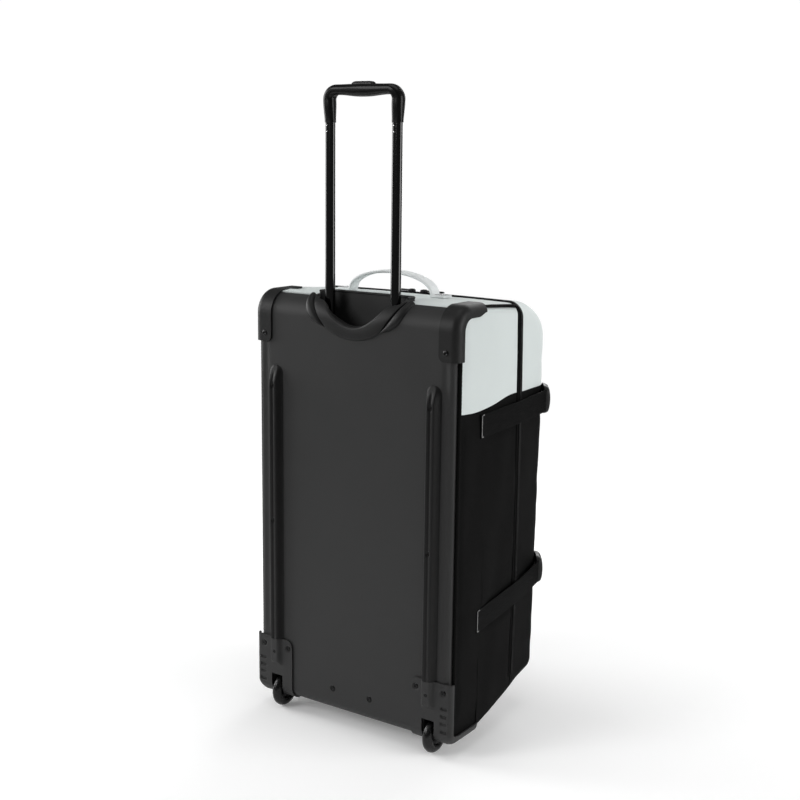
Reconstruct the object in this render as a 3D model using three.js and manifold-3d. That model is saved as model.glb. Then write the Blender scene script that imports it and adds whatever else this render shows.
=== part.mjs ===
// A wheeled travel bag: a moulded back panel with skid rails and wheel housings, a soft hollow body
// with a zipped lid, compression straps, and a trolley handle that slides out of a well.
// Millimetres, +Z up. The back panel faces -Y, the lid faces +Y, and the bag stands on z = 0.
import * as THREE from 'three';
import { mergeVertices } from 'three/addons/utils/BufferGeometryUtils.js';
import loadManifold from 'manifold-3d';

const wasm = await loadManifold();
wasm.setup();

// Driving dimensions. Depths are measured from the outer face of the back panel, heights from the floor.
const DEPTH_MIDDLE = 158.3;
const GAP = 0.4;
const CLOTH = 2.2;
const ABOVE = 900;
const BEHIND = -30;

const PANEL = { half: 203, wall: 3, roll: 9, lip: 82, under: 26, lowRadius: 22, top: 767, topRadius: 38, turn: 108 };
const SEAM = { back: 14, topStart: 28, baseStart: 84, zip: 196, halfGap: 1.2, trim: 0.97 };
const LID = { front: 315, edge: 42, lowShare: 0.3, crown: 10, slackBottom: 0.9, slackFrom: 110, slackTo: 680 };
const ZIP = { width: 18, lift: 0.7, wall: 1.8, low: 92 };
const WHEEL = { x: 165, depth: 19, radius: 31, width: 19, core: 19, tread: 11, bore: 4.6, axle: 4 };
const HOUSING = { inner: 130, outer: 212, top: 137, wall: 3, corner: 14, roll: 8, lowRoll: 17, slotTop: 66 };
const TUB = { half: 14.5, wall: 2.4, back: 53, top: 69 };
const RAIL = { x: 165, proud: 12, face: 14, foot: 22, tip: 641, beak: 34 };
const FOOT_BLOCK = { low: 84, slope: 14 };
const GUARD = { inner: 174, outer: 211, low: 681, reach: 84, wall: 3.2, roll: 14, leg: 21, corner: 10 };
const WELL = { half: 92, front: 3.4, back: 53, floor: 703, top: 773, wall: 3, ears: 110, earLow: 727, earEnd: 26 };
const BEZEL = { proud: 4, low: 699, high: 762, half: 107, lap: 9, sideLap: 25 };
const DIP = { low: 722, high: 760, half: 62 };
const TUBE = { x: 68, depth: 28, wide: 18, deep: 13, corner: 3.6, top: 1074, low: 640 };
const SLEEVE = { wall: 1.6, low: 270 };
const GRIP = { half: 83, low: 1056, top: 1118.4, bend: 16, bar: 9.5, leg: 13.5, deep: 12 };
const NECK = { size: 10.8, deep: 8.8, shoulder: 12, swell: 0.35 };
const BUTTON = { half: 25, deep: 13, proud: 4, sunk: 5, room: 4 };
const CARRY = { depth: 112, half: 84, rise: 39, width: 25, wall: 5, foot: 26 };
const STRAP = { width: 40, wall: 2.4, start: 70, lift: 1.4, frontLift: 3.2 };
const BUCKLE = { half: 26, stand: 5, thick: 9, bow: 4, height: 46, turn: 35 };
const PIPING = { back: 3, top: 2.2 };
const PULL = { depth: 196, apart: 6, tab: 44, width: 11, wall: 2.5, slider: 14, sliderHigh: 5 };

// Cross-sections of the soft body, one row for each depth from the back edge to the front face.
// corner and foot round the upper and lower seams, crown lifts the top, bulge pushes the sides out,
// sag lets the base down.
const BODY = [
  { depth: 14, half: 206, top: 763, bottom: 29, corner: 12, foot: 12, crown: 0, bulge: 0, sag: 0 },
  { depth: 45, half: 206.5, top: 766.5, bottom: 26, corner: 12, foot: 12, crown: 1, bulge: 2, sag: 0 },
  { depth: 86, half: 207, top: 766, bottom: 28, corner: 13, foot: 13, crown: 1.5, bulge: 4, sag: 2 },
  { depth: 125, half: 208.5, top: 764, bottom: 38, corner: 15, foot: 15, crown: 2, bulge: 4, sag: 54 },
  { depth: 165, half: 209, top: 761.5, bottom: 50, corner: 18, foot: 17, crown: 2, bulge: 4, sag: 70 },
  { depth: 200, half: 209, top: 758.5, bottom: 59, corner: 22, foot: 18, crown: 2, bulge: 4, sag: 58 },
  { depth: 240, half: 208, top: 756, bottom: 67, corner: 38, foot: 20, crown: 2, bulge: 3, sag: 34 },
  { depth: 280, half: 207, top: 752, bottom: 72, corner: 56, foot: 22, crown: 1, bulge: 2, sag: 8 },
  { depth: 330, half: 205, top: 748, bottom: 75, corner: 70, foot: 24, crown: 0, bulge: 0, sag: 0 },
];

// The wavy line between the pale upper cloth and the black lower cloth, by depth.
const COLOUR_LINE = [
  { depth: 14, height: 594 },
  { depth: 60, height: 592 },
  { depth: 110, height: 597 },
  { depth: 160, height: 606 },
  { depth: 200, height: 607 },
];
const LID_COLOUR_LINE = 606;

// The two compression straps on each side: height of their middle at the sewn end and at the buckle.
const STRAPS = [
  { name: 'upper', sewn: 567, buckle: 580 },
  { name: 'lower', sewn: 228, buckle: 267 },
];
const SIDES = [
  { name: 'left', sign: -1 },
  { name: 'right', sign: 1 },
];

const MATERIALS = {
  panel: new THREE.MeshStandardMaterial({ color: 0x3e403f, roughness: 0.5 }),
  moulded: new THREE.MeshStandardMaterial({ color: 0x1c1d1e, roughness: 0.45 }),
  gloss: new THREE.MeshStandardMaterial({ color: 0x0b0b0c, roughness: 0.2 }),
  paleCloth: new THREE.MeshStandardMaterial({ color: 0xd8dcdc, roughness: 0.8 }),
  blackCloth: new THREE.MeshStandardMaterial({ color: 0x151616, roughness: 0.85 }),
  webbing: new THREE.MeshStandardMaterial({ color: 0x101111, roughness: 0.9 }),
  paleWebbing: new THREE.MeshStandardMaterial({ color: 0xc9cdcd, roughness: 0.85 }),
  tyre: new THREE.MeshStandardMaterial({ color: 0x0e0e0f, roughness: 0.35 }),
  steel: new THREE.MeshStandardMaterial({ color: 0x9a9c9e, roughness: 0.3, metalness: 1 }),
};

const bag = new THREE.Group();

// Adds a named piece to the bag.
function addPiece(name, geometry, material) {
  const piece = new THREE.Mesh(geometry, material);
  piece.name = name;
  bag.add(piece);
}

// Volume of a closed mesh with its sign, negative when its faces point inwards.
function signedVolume(positions, triangles) {
  let volume = 0;
  const corner = (index) => new THREE.Vector3().fromArray(positions, 3 * index);
  for (let i = 0; i < triangles.length; i += 3) {
    const [a, b, c] = [corner(triangles[i]), corner(triangles[i + 1]), corner(triangles[i + 2])];
    volume += a.dot(b.cross(c)) / 6;
  }
  return volume;
}

// A geometry of merged vertices whose faces point outwards.
function closedGeometry(positions, triangles) {
  const faces = signedVolume(positions, triangles) < 0 ? Array.from(triangles).reverse() : Array.from(triangles);
  const geometry = new THREE.BufferGeometry();
  geometry.setAttribute('position', new THREE.Float32BufferAttribute(positions, 3));
  geometry.setIndex(faces);
  geometry.computeVertexNormals();
  return geometry;
}

// The same for a stock geometry, which repeats vertices along its edges.
function welded(stock) {
  const bare = stock.index ? stock.toNonIndexed() : stock;
  bare.deleteAttribute('normal');
  bare.deleteAttribute('uv');
  const merged = mergeVertices(bare, 1e-4);
  const corners = merged.index.array;
  const faces = [];
  for (let i = 0; i < corners.length; i += 3) {
    const [a, b, c] = corners.slice(i, i + 3);
    if (a !== b && b !== c && a !== c) faces.push(a, b, c);
  }
  return closedGeometry(Array.from(merged.attributes.position.array), faces);
}

// Solids for joining and cutting.
function solid(geometry) {
  const vertProperties = new Float32Array(geometry.attributes.position.array);
  const triVerts = new Uint32Array(geometry.index.array);
  return new wasm.Manifold(new wasm.Mesh({ numProp: 3, vertProperties, triVerts }));
}

function fromSolid(result) {
  const { vertProperties, triVerts } = result.getMesh();
  return closedGeometry(Array.from(vertProperties), Array.from(triVerts));
}

function cut(geometry, ...tools) {
  return fromSolid(tools.reduce((body, tool) => body.subtract(solid(tool)), solid(geometry)));
}

function join(first, ...others) {
  return fromSolid(others.reduce((body, other) => body.add(solid(other)), solid(first)));
}

function keepInside(geometry, region) {
  return fromSolid(solid(geometry).intersect(solid(region)));
}

// The mirror image across the middle plane x = 0.
function mirrored(geometry) {
  const positions = Array.from(geometry.attributes.position.array);
  for (let i = 0; i < positions.length; i += 3) positions[i] = -positions[i];
  return closedGeometry(positions, geometry.index.array);
}

function onSide(sign, geometry) {
  return sign > 0 ? geometry : mirrored(geometry);
}

function block(x0, x1, y0, y1, z0, z1) {
  const geometry = welded(new THREE.BoxGeometry(x1 - x0, y1 - y0, z1 - z0));
  return geometry.translate((x0 + x1) / 2, (y0 + y1) / 2, (z0 + z1) / 2);
}

// An outline in (depth, height) carried across the bag from x0 to x1.
function acrossBag(outline, x0, x1, curveSegments = 6) {
  const stock = new THREE.ExtrudeGeometry(outline, { depth: x1 - x0, bevelEnabled: false, curveSegments });
  const turn = new THREE.Matrix4().set(0, 0, 1, x0, 1, 0, 0, 0, 0, 1, 0, 0, 0, 0, 0, 1);
  return welded(stock.applyMatrix4(turn));
}

// An outline in (x, height) carried through the bag from depth y0 to y1.
function throughBag(outline, y0, y1, curveSegments = 8) {
  const stock = new THREE.ExtrudeGeometry(outline, { depth: y1 - y0, bevelEnabled: false, curveSegments });
  return welded(stock.rotateX(Math.PI / 2).translate(0, y1, 0));
}

// An outline in (x, depth) carried up from z0 to z1.
function upBag(outline, z0, z1, curveSegments = 4) {
  const stock = new THREE.ExtrudeGeometry(outline, { depth: z1 - z0, bevelEnabled: false, curveSegments });
  return welded(stock.translate(0, 0, z1 > z0 ? z0 : z1));
}

// A wall between two grids of points with the same rows and columns.
function wall(outerAt, innerAt, rows, columns) {
  const positions = [];
  const triangles = [];
  for (const at of [outerAt, innerAt]) {
    for (const row of rows) {
      for (const column of columns) positions.push(...at(row, column).toArray());
    }
  }
  const width = columns.length;
  const skin = rows.length * width;
  const outer = (i, j) => i * width + j;
  const inner = (i, j) => skin + outer(i, j);
  const quad = (a, b, c, d) => triangles.push(a, b, c, a, c, d);
  const lastRow = rows.length - 1;
  const lastColumn = width - 1;
  for (let i = 0; i < lastRow; i += 1) {
    for (let j = 0; j < lastColumn; j += 1) {
      quad(outer(i, j), outer(i + 1, j), outer(i + 1, j + 1), outer(i, j + 1));
      quad(inner(i, j), inner(i, j + 1), inner(i + 1, j + 1), inner(i + 1, j));
    }
    quad(outer(i, 0), inner(i, 0), inner(i + 1, 0), outer(i + 1, 0));
    quad(outer(i, lastColumn), outer(i + 1, lastColumn), inner(i + 1, lastColumn), inner(i, lastColumn));
  }
  for (let j = 0; j < lastColumn; j += 1) {
    quad(outer(0, j), outer(0, j + 1), inner(0, j + 1), inner(0, j));
    quad(outer(lastRow, j), inner(lastRow, j), inner(lastRow, j + 1), outer(lastRow, j + 1));
  }
  return closedGeometry(positions, triangles);
}

// A solid through closed rings with the same number of points, its two ends closed by fans.
function throughRings(rings) {
  const count = rings[0].length;
  const positions = rings.flat().flatMap((point) => point.toArray());
  const triangles = [];
  for (let k = 0; k + 1 < rings.length; k += 1) {
    for (let i = 0; i < count; i += 1) {
      const [a, b] = [k * count + i, k * count + ((i + 1) % count)];
      triangles.push(a, b, b + count, a, b + count, a + count);
    }
  }
  const ends = [rings[0], rings[rings.length - 1]];
  ends.forEach((ring, end) => {
    const middle = ring.reduce((sum, point) => sum.add(point), new THREE.Vector3()).divideScalar(count);
    const hub = positions.length / 3;
    positions.push(...middle.toArray());
    const first = end === 0 ? 0 : (rings.length - 1) * count;
    for (let i = 0; i < count; i += 1) {
      const [a, b] = [first + i, first + ((i + 1) % count)];
      triangles.push(...(end === 0 ? [hub, b, a] : [hub, a, b]));
    }
  });
  return closedGeometry(positions, triangles);
}

// A flat band along a path. Each station has a middle point on its inner face, the direction across
// the band and the direction away from what it lies on.
function band(stations, width, thickness) {
  return throughRings(stations.map(({ at, across, out }) => {
    const edge = across.clone().multiplyScalar(width / 2);
    const lift = out.clone().multiplyScalar(thickness);
    return [
      at.clone().sub(edge),
      at.clone().add(edge),
      at.clone().add(edge).add(lift),
      at.clone().sub(edge).add(lift),
    ];
  }));
}

// A round cord along a path of points.
function cordAlong(points, radius, sides = 8) {
  const section = new THREE.Shape().absarc(0, 0, radius, 0, 2 * Math.PI);
  const path = new THREE.CatmullRomCurve3(points);
  const options = { steps: points.length - 1, extrudePath: path, curveSegments: sides };
  return welded(new THREE.ExtrudeGeometry(section, options));
}

function lerp(a, b, f) {
  return a + (b - a) * f;
}

// Whole steps from one value to another.
function steps(from, to, count) {
  return Array.from({ length: count + 1 }, (_, i) => lerp(from, to, i / count));
}

// A smooth curve through one column of a table of rows, by depth.
function column(table, name, depth) {
  const last = table.length - 1;
  let k = table.findIndex((row, i) => i > 0 && depth <= row.depth) - 1;
  if (k < 0) k = depth <= table[0].depth ? 0 : last - 1;
  const slope = (i) => {
    const [a, b] = [table[Math.max(i - 1, 0)], table[Math.min(i + 1, last)]];
    return (b[name] - a[name]) / (b.depth - a.depth);
  };
  const run = table[k + 1].depth - table[k].depth;
  const f = THREE.MathUtils.clamp((depth - table[k].depth) / run, 0, 1);
  const rise = f * f * (3 - 2 * f);
  const ease = f * (1 - f) * (slope(k) * (1 - f) - slope(k + 1) * f) * run;
  return lerp(table[k][name], table[k + 1][name], rise) + ease;
}

// Place on the soft body. side is top, right, base or left; t runs from -1 to 1 between its two seams,
// with the last fifth each way on the rounded corner. A positive inset lies inside the outer face.
const STRAIGHT = 0.8;
const SMALLEST_CORNER = 4;

function edgeRun(halfLength, before, after, t) {
  const reach = Math.abs(t);
  if (reach <= STRAIGHT) {
    return { along: lerp(before - halfLength, halfLength - after, (t / STRAIGHT + 1) / 2), drop: 0 };
  }
  const corner = t < 0 ? before : after;
  const angle = ((reach - STRAIGHT) / (1 - STRAIGHT)) * (Math.PI / 4);
  const along = halfLength - corner + corner * Math.sin(angle);
  return { along: Math.sign(t) * along, drop: corner * (1 - Math.cos(angle)) };
}

function bodyAt(depth, inset, lowInset = inset) {
  const value = (name) => column(BODY, name, depth);
  return {
    half: value('half') - inset,
    top: value('top') - inset,
    bottom: value('bottom') + lowInset,
    corner: Math.max(value('corner') - inset, SMALLEST_CORNER),
    foot: Math.max(value('foot') - lowInset, SMALLEST_CORNER),
    crown: value('crown'),
    bulge: value('bulge'),
    sag: value('sag'),
  };
}

function onBody(depth, inset, side, t, floor = 0, lowInset = inset) {
  const { half, top, bottom, corner, foot, crown, bulge, sag } = bodyAt(depth, inset, lowInset);
  const halfHeight = (top - bottom) / 2;
  const swell = (along, reach) => 1 - (along / reach) ** 2;
  if (side === 'top' || side === 'base') {
    const round = side === 'top' ? corner : foot;
    const { along, drop } = edgeRun(half, round, round, t);
    if (side === 'top') return new THREE.Vector3(along, depth, top - drop + crown * swell(along, half));
    return new THREE.Vector3(-along, depth, Math.max(floor, bottom + drop - sag * swell(along, half)));
  }
  const ends = side === 'right' ? [corner, foot] : [foot, corner];
  const { along, drop } = edgeRun(halfHeight, ...ends, t);
  const x = half - drop + bulge * swell(along, halfHeight);
  const middle = (top + bottom) / 2;
  return side === 'right'
    ? new THREE.Vector3(x, depth, middle - along)
    : new THREE.Vector3(-x, depth, middle + along);
}

// The t of a height on the right side.
function sideRun(depth, height) {
  const { top, bottom, corner, foot } = bodyAt(depth, 0);
  return STRAIGHT * (2 * THREE.MathUtils.inverseLerp(top - corner, bottom + foot, height) - 1);
}

// The lid is slacker towards its foot, where the straps pull it in.
function lidPlace(point) {
  const f = THREE.MathUtils.smoothstep(point.z, LID.slackFrom, LID.slackTo);
  const scale = lerp(LID.slackBottom, 1, f);
  return point.setY(SEAM.zip + (point.y - SEAM.zip) * scale);
}

// The lid's profile from its rim at the zip, round the edge and over the front face: depth and inset.
const LID_TURNS = 5;
const LID_FRONT_INSETS = [88, 138, 184];

function lidProfile() {
  const shoulder = LID.front - LID.edge;
  const rim = steps(SEAM.zip + SEAM.halfGap, shoulder, 3).map((depth) => ({ depth, inset: 0 }));
  const turn = steps(0, Math.PI / 2, LID_TURNS).slice(1).map((angle) => ({
    depth: shoulder + LID.edge * Math.sin(angle),
    inset: LID.edge * (1 - Math.cos(angle)),
  }));
  const face = LID_FRONT_INSETS.map((inset) => ({
    depth: LID.front + LID.crown * Math.sin(((inset - LID.edge) / (LID_FRONT_INSETS[2] - LID.edge)) * (Math.PI / 2)),
    inset,
  }));
  return [...rim, ...turn, ...face];
}

const TOP_RUN = [-1, -0.9, -STRAIGHT, -0.55, -0.28, 0, 0.28, 0.55, STRAIGHT, 0.9, 1];
const SIDE_RUN = [-1, -0.9, -STRAIGHT, -0.6, -0.4, -0.2, 0, 0.2, 0.4, 0.6, STRAIGHT, 0.9, 1];

function bodyRing(depth, inset, lowInset, floor) {
  const runs = { top: TOP_RUN, right: SIDE_RUN, base: TOP_RUN, left: SIDE_RUN };
  return Object.entries(runs).flatMap(([side, run]) => (
    run.slice(1).map((t) => onBody(depth, inset, side, t, floor, lowInset))
  ));
}

// Panels of the main body
const GUSSET_DEPTHS = [SEAM.back, 45, SEAM.baseStart - 1, SEAM.baseStart + 2, 125, 165, SEAM.zip - SEAM.halfGap];

function bodyPanel(side, depths, run) {
  const at = (inset) => (depth, t) => onBody(depth, inset, side, t, inset);
  return wall(at(0), at(CLOTH), depths, run);
}

function trimmed(run, first, last) {
  return [first, ...run.slice(1, -1), last];
}

function sidePanel(depths, ends) {
  const at = (inset) => (depth, f) => {
    const [from, to] = ends(depth);
    return onBody(depth, inset, 'right', lerp(from, to, f), inset);
  };
  return wall(at(0), at(CLOTH), depths, [0, 0.05, 0.12, 0.3, 0.5, 0.7, 0.88, 0.95, 1]);
}

function wellRoom(extra) {
  const half = WELL.half + extra;
  return block(-half, half, WELL.front - extra, WELL.back + extra, WELL.floor - extra, ABOVE);
}

function bodyPanels() {
  const topDepths = [SEAM.topStart, ...GUSSET_DEPTHS.slice(1)];
  const topRun = trimmed(TOP_RUN, -SEAM.trim, SEAM.trim);
  addPiece('top_panel', cut(bodyPanel('top', topDepths, topRun), wellRoom(GAP)), MATERIALS.paleCloth);
  const baseDepths = [SEAM.baseStart, 106, 125, 145, 165, 183, SEAM.zip - SEAM.halfGap];
  const baseHalf = [0.16, 0.33, 0.5, 0.65, STRAIGHT, 0.9, SEAM.trim];
  const baseRun = [...baseHalf.map((t) => -t).reverse(), 0, ...baseHalf];
  addPiece('base_panel', bodyPanel('base', baseDepths, baseRun), MATERIALS.blackCloth);
  const line = (depth) => column(COLOUR_LINE, 'height', depth);
  const topEnd = (depth) => (depth < SEAM.topStart ? -STRAIGHT : -SEAM.trim);
  const lowEnd = (depth) => (depth < SEAM.baseStart ? STRAIGHT : SEAM.trim);
  const upper = sidePanel(GUSSET_DEPTHS, (depth) => [topEnd(depth), sideRun(depth, line(depth) + GAP)]);
  const lower = sidePanel(GUSSET_DEPTHS, (depth) => [sideRun(depth, line(depth) - GAP), lowEnd(depth)]);
  for (const { name, sign } of SIDES) {
    addPiece(`side_upper_${name}`, onSide(sign, upper), MATERIALS.paleCloth);
    addPiece(`side_lower_${name}`, onSide(sign, lower), MATERIALS.blackCloth);
  }
}

// The lid is one shell, cut where the pale cloth meets the black.
function lidPieces() {
  const rings = (skin) => lidProfile().map(({ depth, inset }) => (
    bodyRing(depth - skin, inset + skin, inset * LID.lowShare + skin, skin).map(lidPlace)
  ));
  const hollow = rings(CLOTH);
  const mouth = hollow[0].map((point) => point.clone().setY(point.y - 12));
  const shell = cut(throughRings(rings(0)), throughRings([mouth, ...hollow]));
  const reach = 400;
  const upper = block(-reach, reach, 0, reach, LID_COLOUR_LINE + GAP, ABOVE);
  const lower = block(-reach, reach, 0, reach, -10, LID_COLOUR_LINE - GAP);
  addPiece('lid_upper', keepInside(shell, upper), MATERIALS.paleCloth);
  addPiece('lid_lower', keepInside(shell, lower), MATERIALS.blackCloth);
}

// The zip band covers the joint of body and lid, up one side, over the top and down the other.
function zipBand() {
  const depths = [-ZIP.width / 2, -SEAM.halfGap, SEAM.halfGap, ZIP.width / 2].map((away) => SEAM.zip + away);
  const lowest = sideRun(SEAM.zip, ZIP.low);
  const upRun = [-lowest, -0.6, -0.4, -0.2, 0, 0.2, 0.4, 0.6, STRAIGHT, 0.9].map((t) => ({ side: 'left', t }));
  const overRun = TOP_RUN.map((t) => ({ side: 'top', t }));
  const downRun = upRun.map(({ t }) => ({ side: 'right', t: -t })).reverse();
  const at = (lift) => (depth, { side, t }) => onBody(depth, -lift, side, t);
  const loop = [...upRun, ...overRun, ...downRun];
  addPiece('zip_band', wall(at(ZIP.lift + ZIP.wall), at(ZIP.lift), depths, loop), MATERIALS.webbing);
}

// Two sliders meet at the top of the zip, their pulls lying along the band.
function zipPulls() {
  const band = onBody(PULL.depth, -(ZIP.lift + ZIP.wall), 'top', 0).z + 2 * GAP;
  for (const { name, sign } of SIDES) {
    const [near, wide] = [PULL.apart, PULL.width / 2];
    const slider = block(near, near + PULL.slider, -wide, wide, band, band + PULL.sliderHigh);
    const tab = block(near + wide, near + wide + PULL.tab, 1 - wide, wide - 1, band + 1, band + 1 + PULL.wall);
    const pull = join(slider, tab).translate(0, PULL.depth, 0);
    addPiece(`zip_pull_${name}`, onSide(sign, pull), MATERIALS.gloss);
  }
}

// The moulded back panel turns under the bag at its foot and over it at its top, and rolls in at its sides.
function panelProfile() {
  return [{ y: PANEL.lip, z: PANEL.under, out: [0, -1] }, ...footTurn().reverse(), ...topTurn(PANEL.turn)];
}

// The panel's rounded top edge and foot: places with their outward directions.
function profileArc(y, z, radius, from, to, count) {
  return steps(from, to, count).map(THREE.MathUtils.degToRad).map((angle) => ({
    y: y + radius * Math.cos(angle),
    z: z + radius * Math.sin(angle),
    out: [Math.cos(angle), Math.sin(angle)],
  }));
}

function topTurn(end) {
  return profileArc(PANEL.topRadius, PANEL.top - PANEL.topRadius, PANEL.topRadius, 180, end, 6);
}

function footTurn() {
  return profileArc(PANEL.lowRadius, PANEL.under + PANEL.lowRadius, PANEL.lowRadius, 180, 270, 5);
}

// A sheet that stands off the panel along a profile and rolls in at its outer side edge, ending in a leg.
// Each place on the profile has the radius of its roll and the depth of its leg.
function rolledSheet(profile, { inner, outer, wall: skin }) {
  const turns = [0, 30, 60, 90].map(THREE.MathUtils.degToRad);
  const edges = [{ x: inner, turn: 0 }, ...turns.map((turn) => ({ turn })), { leg: true }];
  const lift = GAP + skin;
  const at = (inset) => ({ y, z, out, roll, leg }, edge) => {
    const radius = roll - inset;
    const x = edge.leg ? outer - inset : edge.x ?? outer - roll + radius * Math.sin(edge.turn);
    const inward = (edge.leg ? leg : roll - radius * Math.cos(edge.turn)) - lift;
    return new THREE.Vector3(x, y - out[0] * inward, z - out[1] * inward);
  };
  return wall(at(0), at(skin), profile, edges);
}

function backPanel() {
  const turns = [0, 30, 60, 90].map(THREE.MathUtils.degToRad);
  const edges = [...turns.map((turn) => ({ sign: -1, turn })).reverse(), ...turns.map((turn) => ({ sign: 1, turn }))];
  const at = (skin) => ({ y, z, out }, { sign, turn }) => {
    const radius = PANEL.roll - skin;
    const depth = PANEL.roll - radius * Math.cos(turn);
    const x = sign * (PANEL.half - PANEL.roll + radius * Math.sin(turn));
    return new THREE.Vector3(x, y - out[0] * depth, z - out[1] * depth);
  };
  const sheet = wall(at(0), at(PANEL.wall), panelProfile(), edges);
  const hole = bowlOutline(BEZEL.low + BEZEL.lap - 1, BEZEL.high, BEZEL.half - BEZEL.sideLap + 1, ABOVE);
  const bezelHole = throughBag(hole, BEHIND, WELL.back);
  const overWell = block(-WELL.half - GAP, WELL.half + GAP, BEHIND, WELL.back, WELL.earLow + 1, ABOVE);
  const tubs = SIDES.map(({ sign }) => {
    const half = TUB.half + GAP;
    return block(sign * WHEEL.x - half, sign * WHEEL.x + half, BEHIND, TUB.back + GAP, 0, TUB.top + GAP);
  });
  addPiece('back_panel', cut(sheet, bezelHole, overWell, ...tubs), MATERIALS.panel);
}

// Piping along the two back edges and along the top side seams.
function piping() {
  const heights = steps(HOUSING.top + 2, GUARD.low - 2, 6);
  const backCord = cordAlong(heights.map((z) => new THREE.Vector3(PANEL.half + 5, 8, z)), PIPING.back);
  const topCord = cordAlong(steps(GUARD.reach + 2, SEAM.zip - ZIP.width / 2 - 1, 5).map((depth) => {
    return onBody(depth, -PIPING.top - 1, 'top', 1);
  }), PIPING.top);
  for (const { name, sign } of SIDES) {
    addPiece(`piping_back_${name}`, onSide(sign, backCord), MATERIALS.webbing);
    addPiece(`piping_top_${name}`, onSide(sign, topCord), MATERIALS.webbing);
  }
}

// A bowl-shaped outline: a parabola that opens upwards, closed by a straight top.
function bowlOutline(low, high, half, top) {
  const heights = [0, 0.04, 0.14, 0.32, 0.6, 1];
  const right = heights.map((f) => [half * Math.sqrt(f), lerp(low, high, f)]);
  const left = right.slice(1).map(([x, z]) => [-x, z]).reverse();
  const outline = [[-half, top], ...left, ...right, [half, top]];
  return new THREE.Shape(outline.map(([x, z]) => new THREE.Vector2(x, z)));
}

function roundedTube(wide, deep, corner) {
  const [x, y] = [wide / 2, deep / 2];
  return new THREE.Shape()
    .absarc(x - corner, y - corner, corner, 0, Math.PI / 2)
    .absarc(corner - x, y - corner, corner, Math.PI / 2, Math.PI)
    .absarc(corner - x, corner - y, corner, Math.PI, 1.5 * Math.PI)
    .absarc(x - corner, corner - y, corner, 1.5 * Math.PI, 2 * Math.PI);
}

function tubeSolid(sign, extra, z0, z1) {
  const outline = roundedTube(TUBE.wide + 2 * extra, TUBE.deep + 2 * extra, TUBE.corner + extra);
  return upBag(outline, z0, z1, 3).translate(sign * TUBE.x, TUBE.depth, 0);
}

// A strip of even thickness over the back panel's rounded top edge, from a height to a depth.
function topEdgeStrip(low, reach, clear, thickness) {
  const { topRadius, top } = PANEL;
  const [outer, inner] = [topRadius + clear + thickness, topRadius + clear];
  const middle = top - topRadius;
  const strip = new THREE.Shape();
  strip.moveTo(-clear - thickness, low);
  strip.lineTo(-clear - thickness, middle);
  strip.absarc(topRadius, middle, outer, Math.PI, Math.PI / 2, true);
  strip.lineTo(reach, top + clear + thickness);
  strip.lineTo(reach, top + clear);
  strip.absarc(topRadius, middle, inner, Math.PI / 2, Math.PI, false);
  strip.lineTo(-clear, low);
  return strip;
}

// The handle well: a tub behind the panel, a bowl-shaped bezel with a dip for the fingers, and two ears
// that follow the panel's rounded top edge.
function handleWell() {
  const { half, front, back, floor, top, wall: skin, ears, earLow, earEnd } = WELL;
  const tub = block(-half, half, front, back, floor, top);
  const bezel = throughBag(bowlOutline(BEZEL.low, BEZEL.high, BEZEL.half, BEZEL.high + 1), -BEZEL.proud, -GAP);
  const throat = bowlOutline(BEZEL.low + BEZEL.lap, BEZEL.high, BEZEL.half - BEZEL.sideLap, BEZEL.high + 1);
  const neck = throughBag(throat, -BEZEL.proud / 2, front + 1);
  const earStrip = keepInside(
    acrossBag(topEdgeStrip(earLow, PANEL.topRadius, GAP, BEZEL.proud - GAP), -ears, ears),
    block(-ears, ears, BEHIND, earEnd, earLow, ABOVE),
  );
  const roll = new THREE.Shape();
  roll.moveTo(-BEZEL.proud, BEZEL.low - skin);
  roll.lineTo(-BEZEL.proud, PANEL.top - PANEL.topRadius);
  roll.absarc(PANEL.topRadius, PANEL.top - PANEL.topRadius, PANEL.topRadius + BEZEL.proud, Math.PI, Math.PI / 2, true);
  roll.lineTo(PANEL.topRadius, top);
  roll.lineTo(back, top);
  roll.lineTo(back, BEZEL.low - skin);
  const behindRoll = acrossBag(roll, -ears, ears);
  const pocket = block(-half + skin, half - skin, front + skin, back - skin, floor + skin, ABOVE);
  const dip = throughBag(bowlOutline(DIP.low, DIP.high, DIP.half, ABOVE), BEHIND, front + skin + 1);
  const holes = SIDES.map(({ sign }) => tubeSolid(sign, GAP + 0.2, floor - 5, floor + skin + 5));
  const whole = keepInside(join(tub, bezel, neck, earStrip), behindRoll);
  addPiece('handle_well', cut(whole, pocket, dip, ...holes), MATERIALS.moulded);
}

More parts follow.
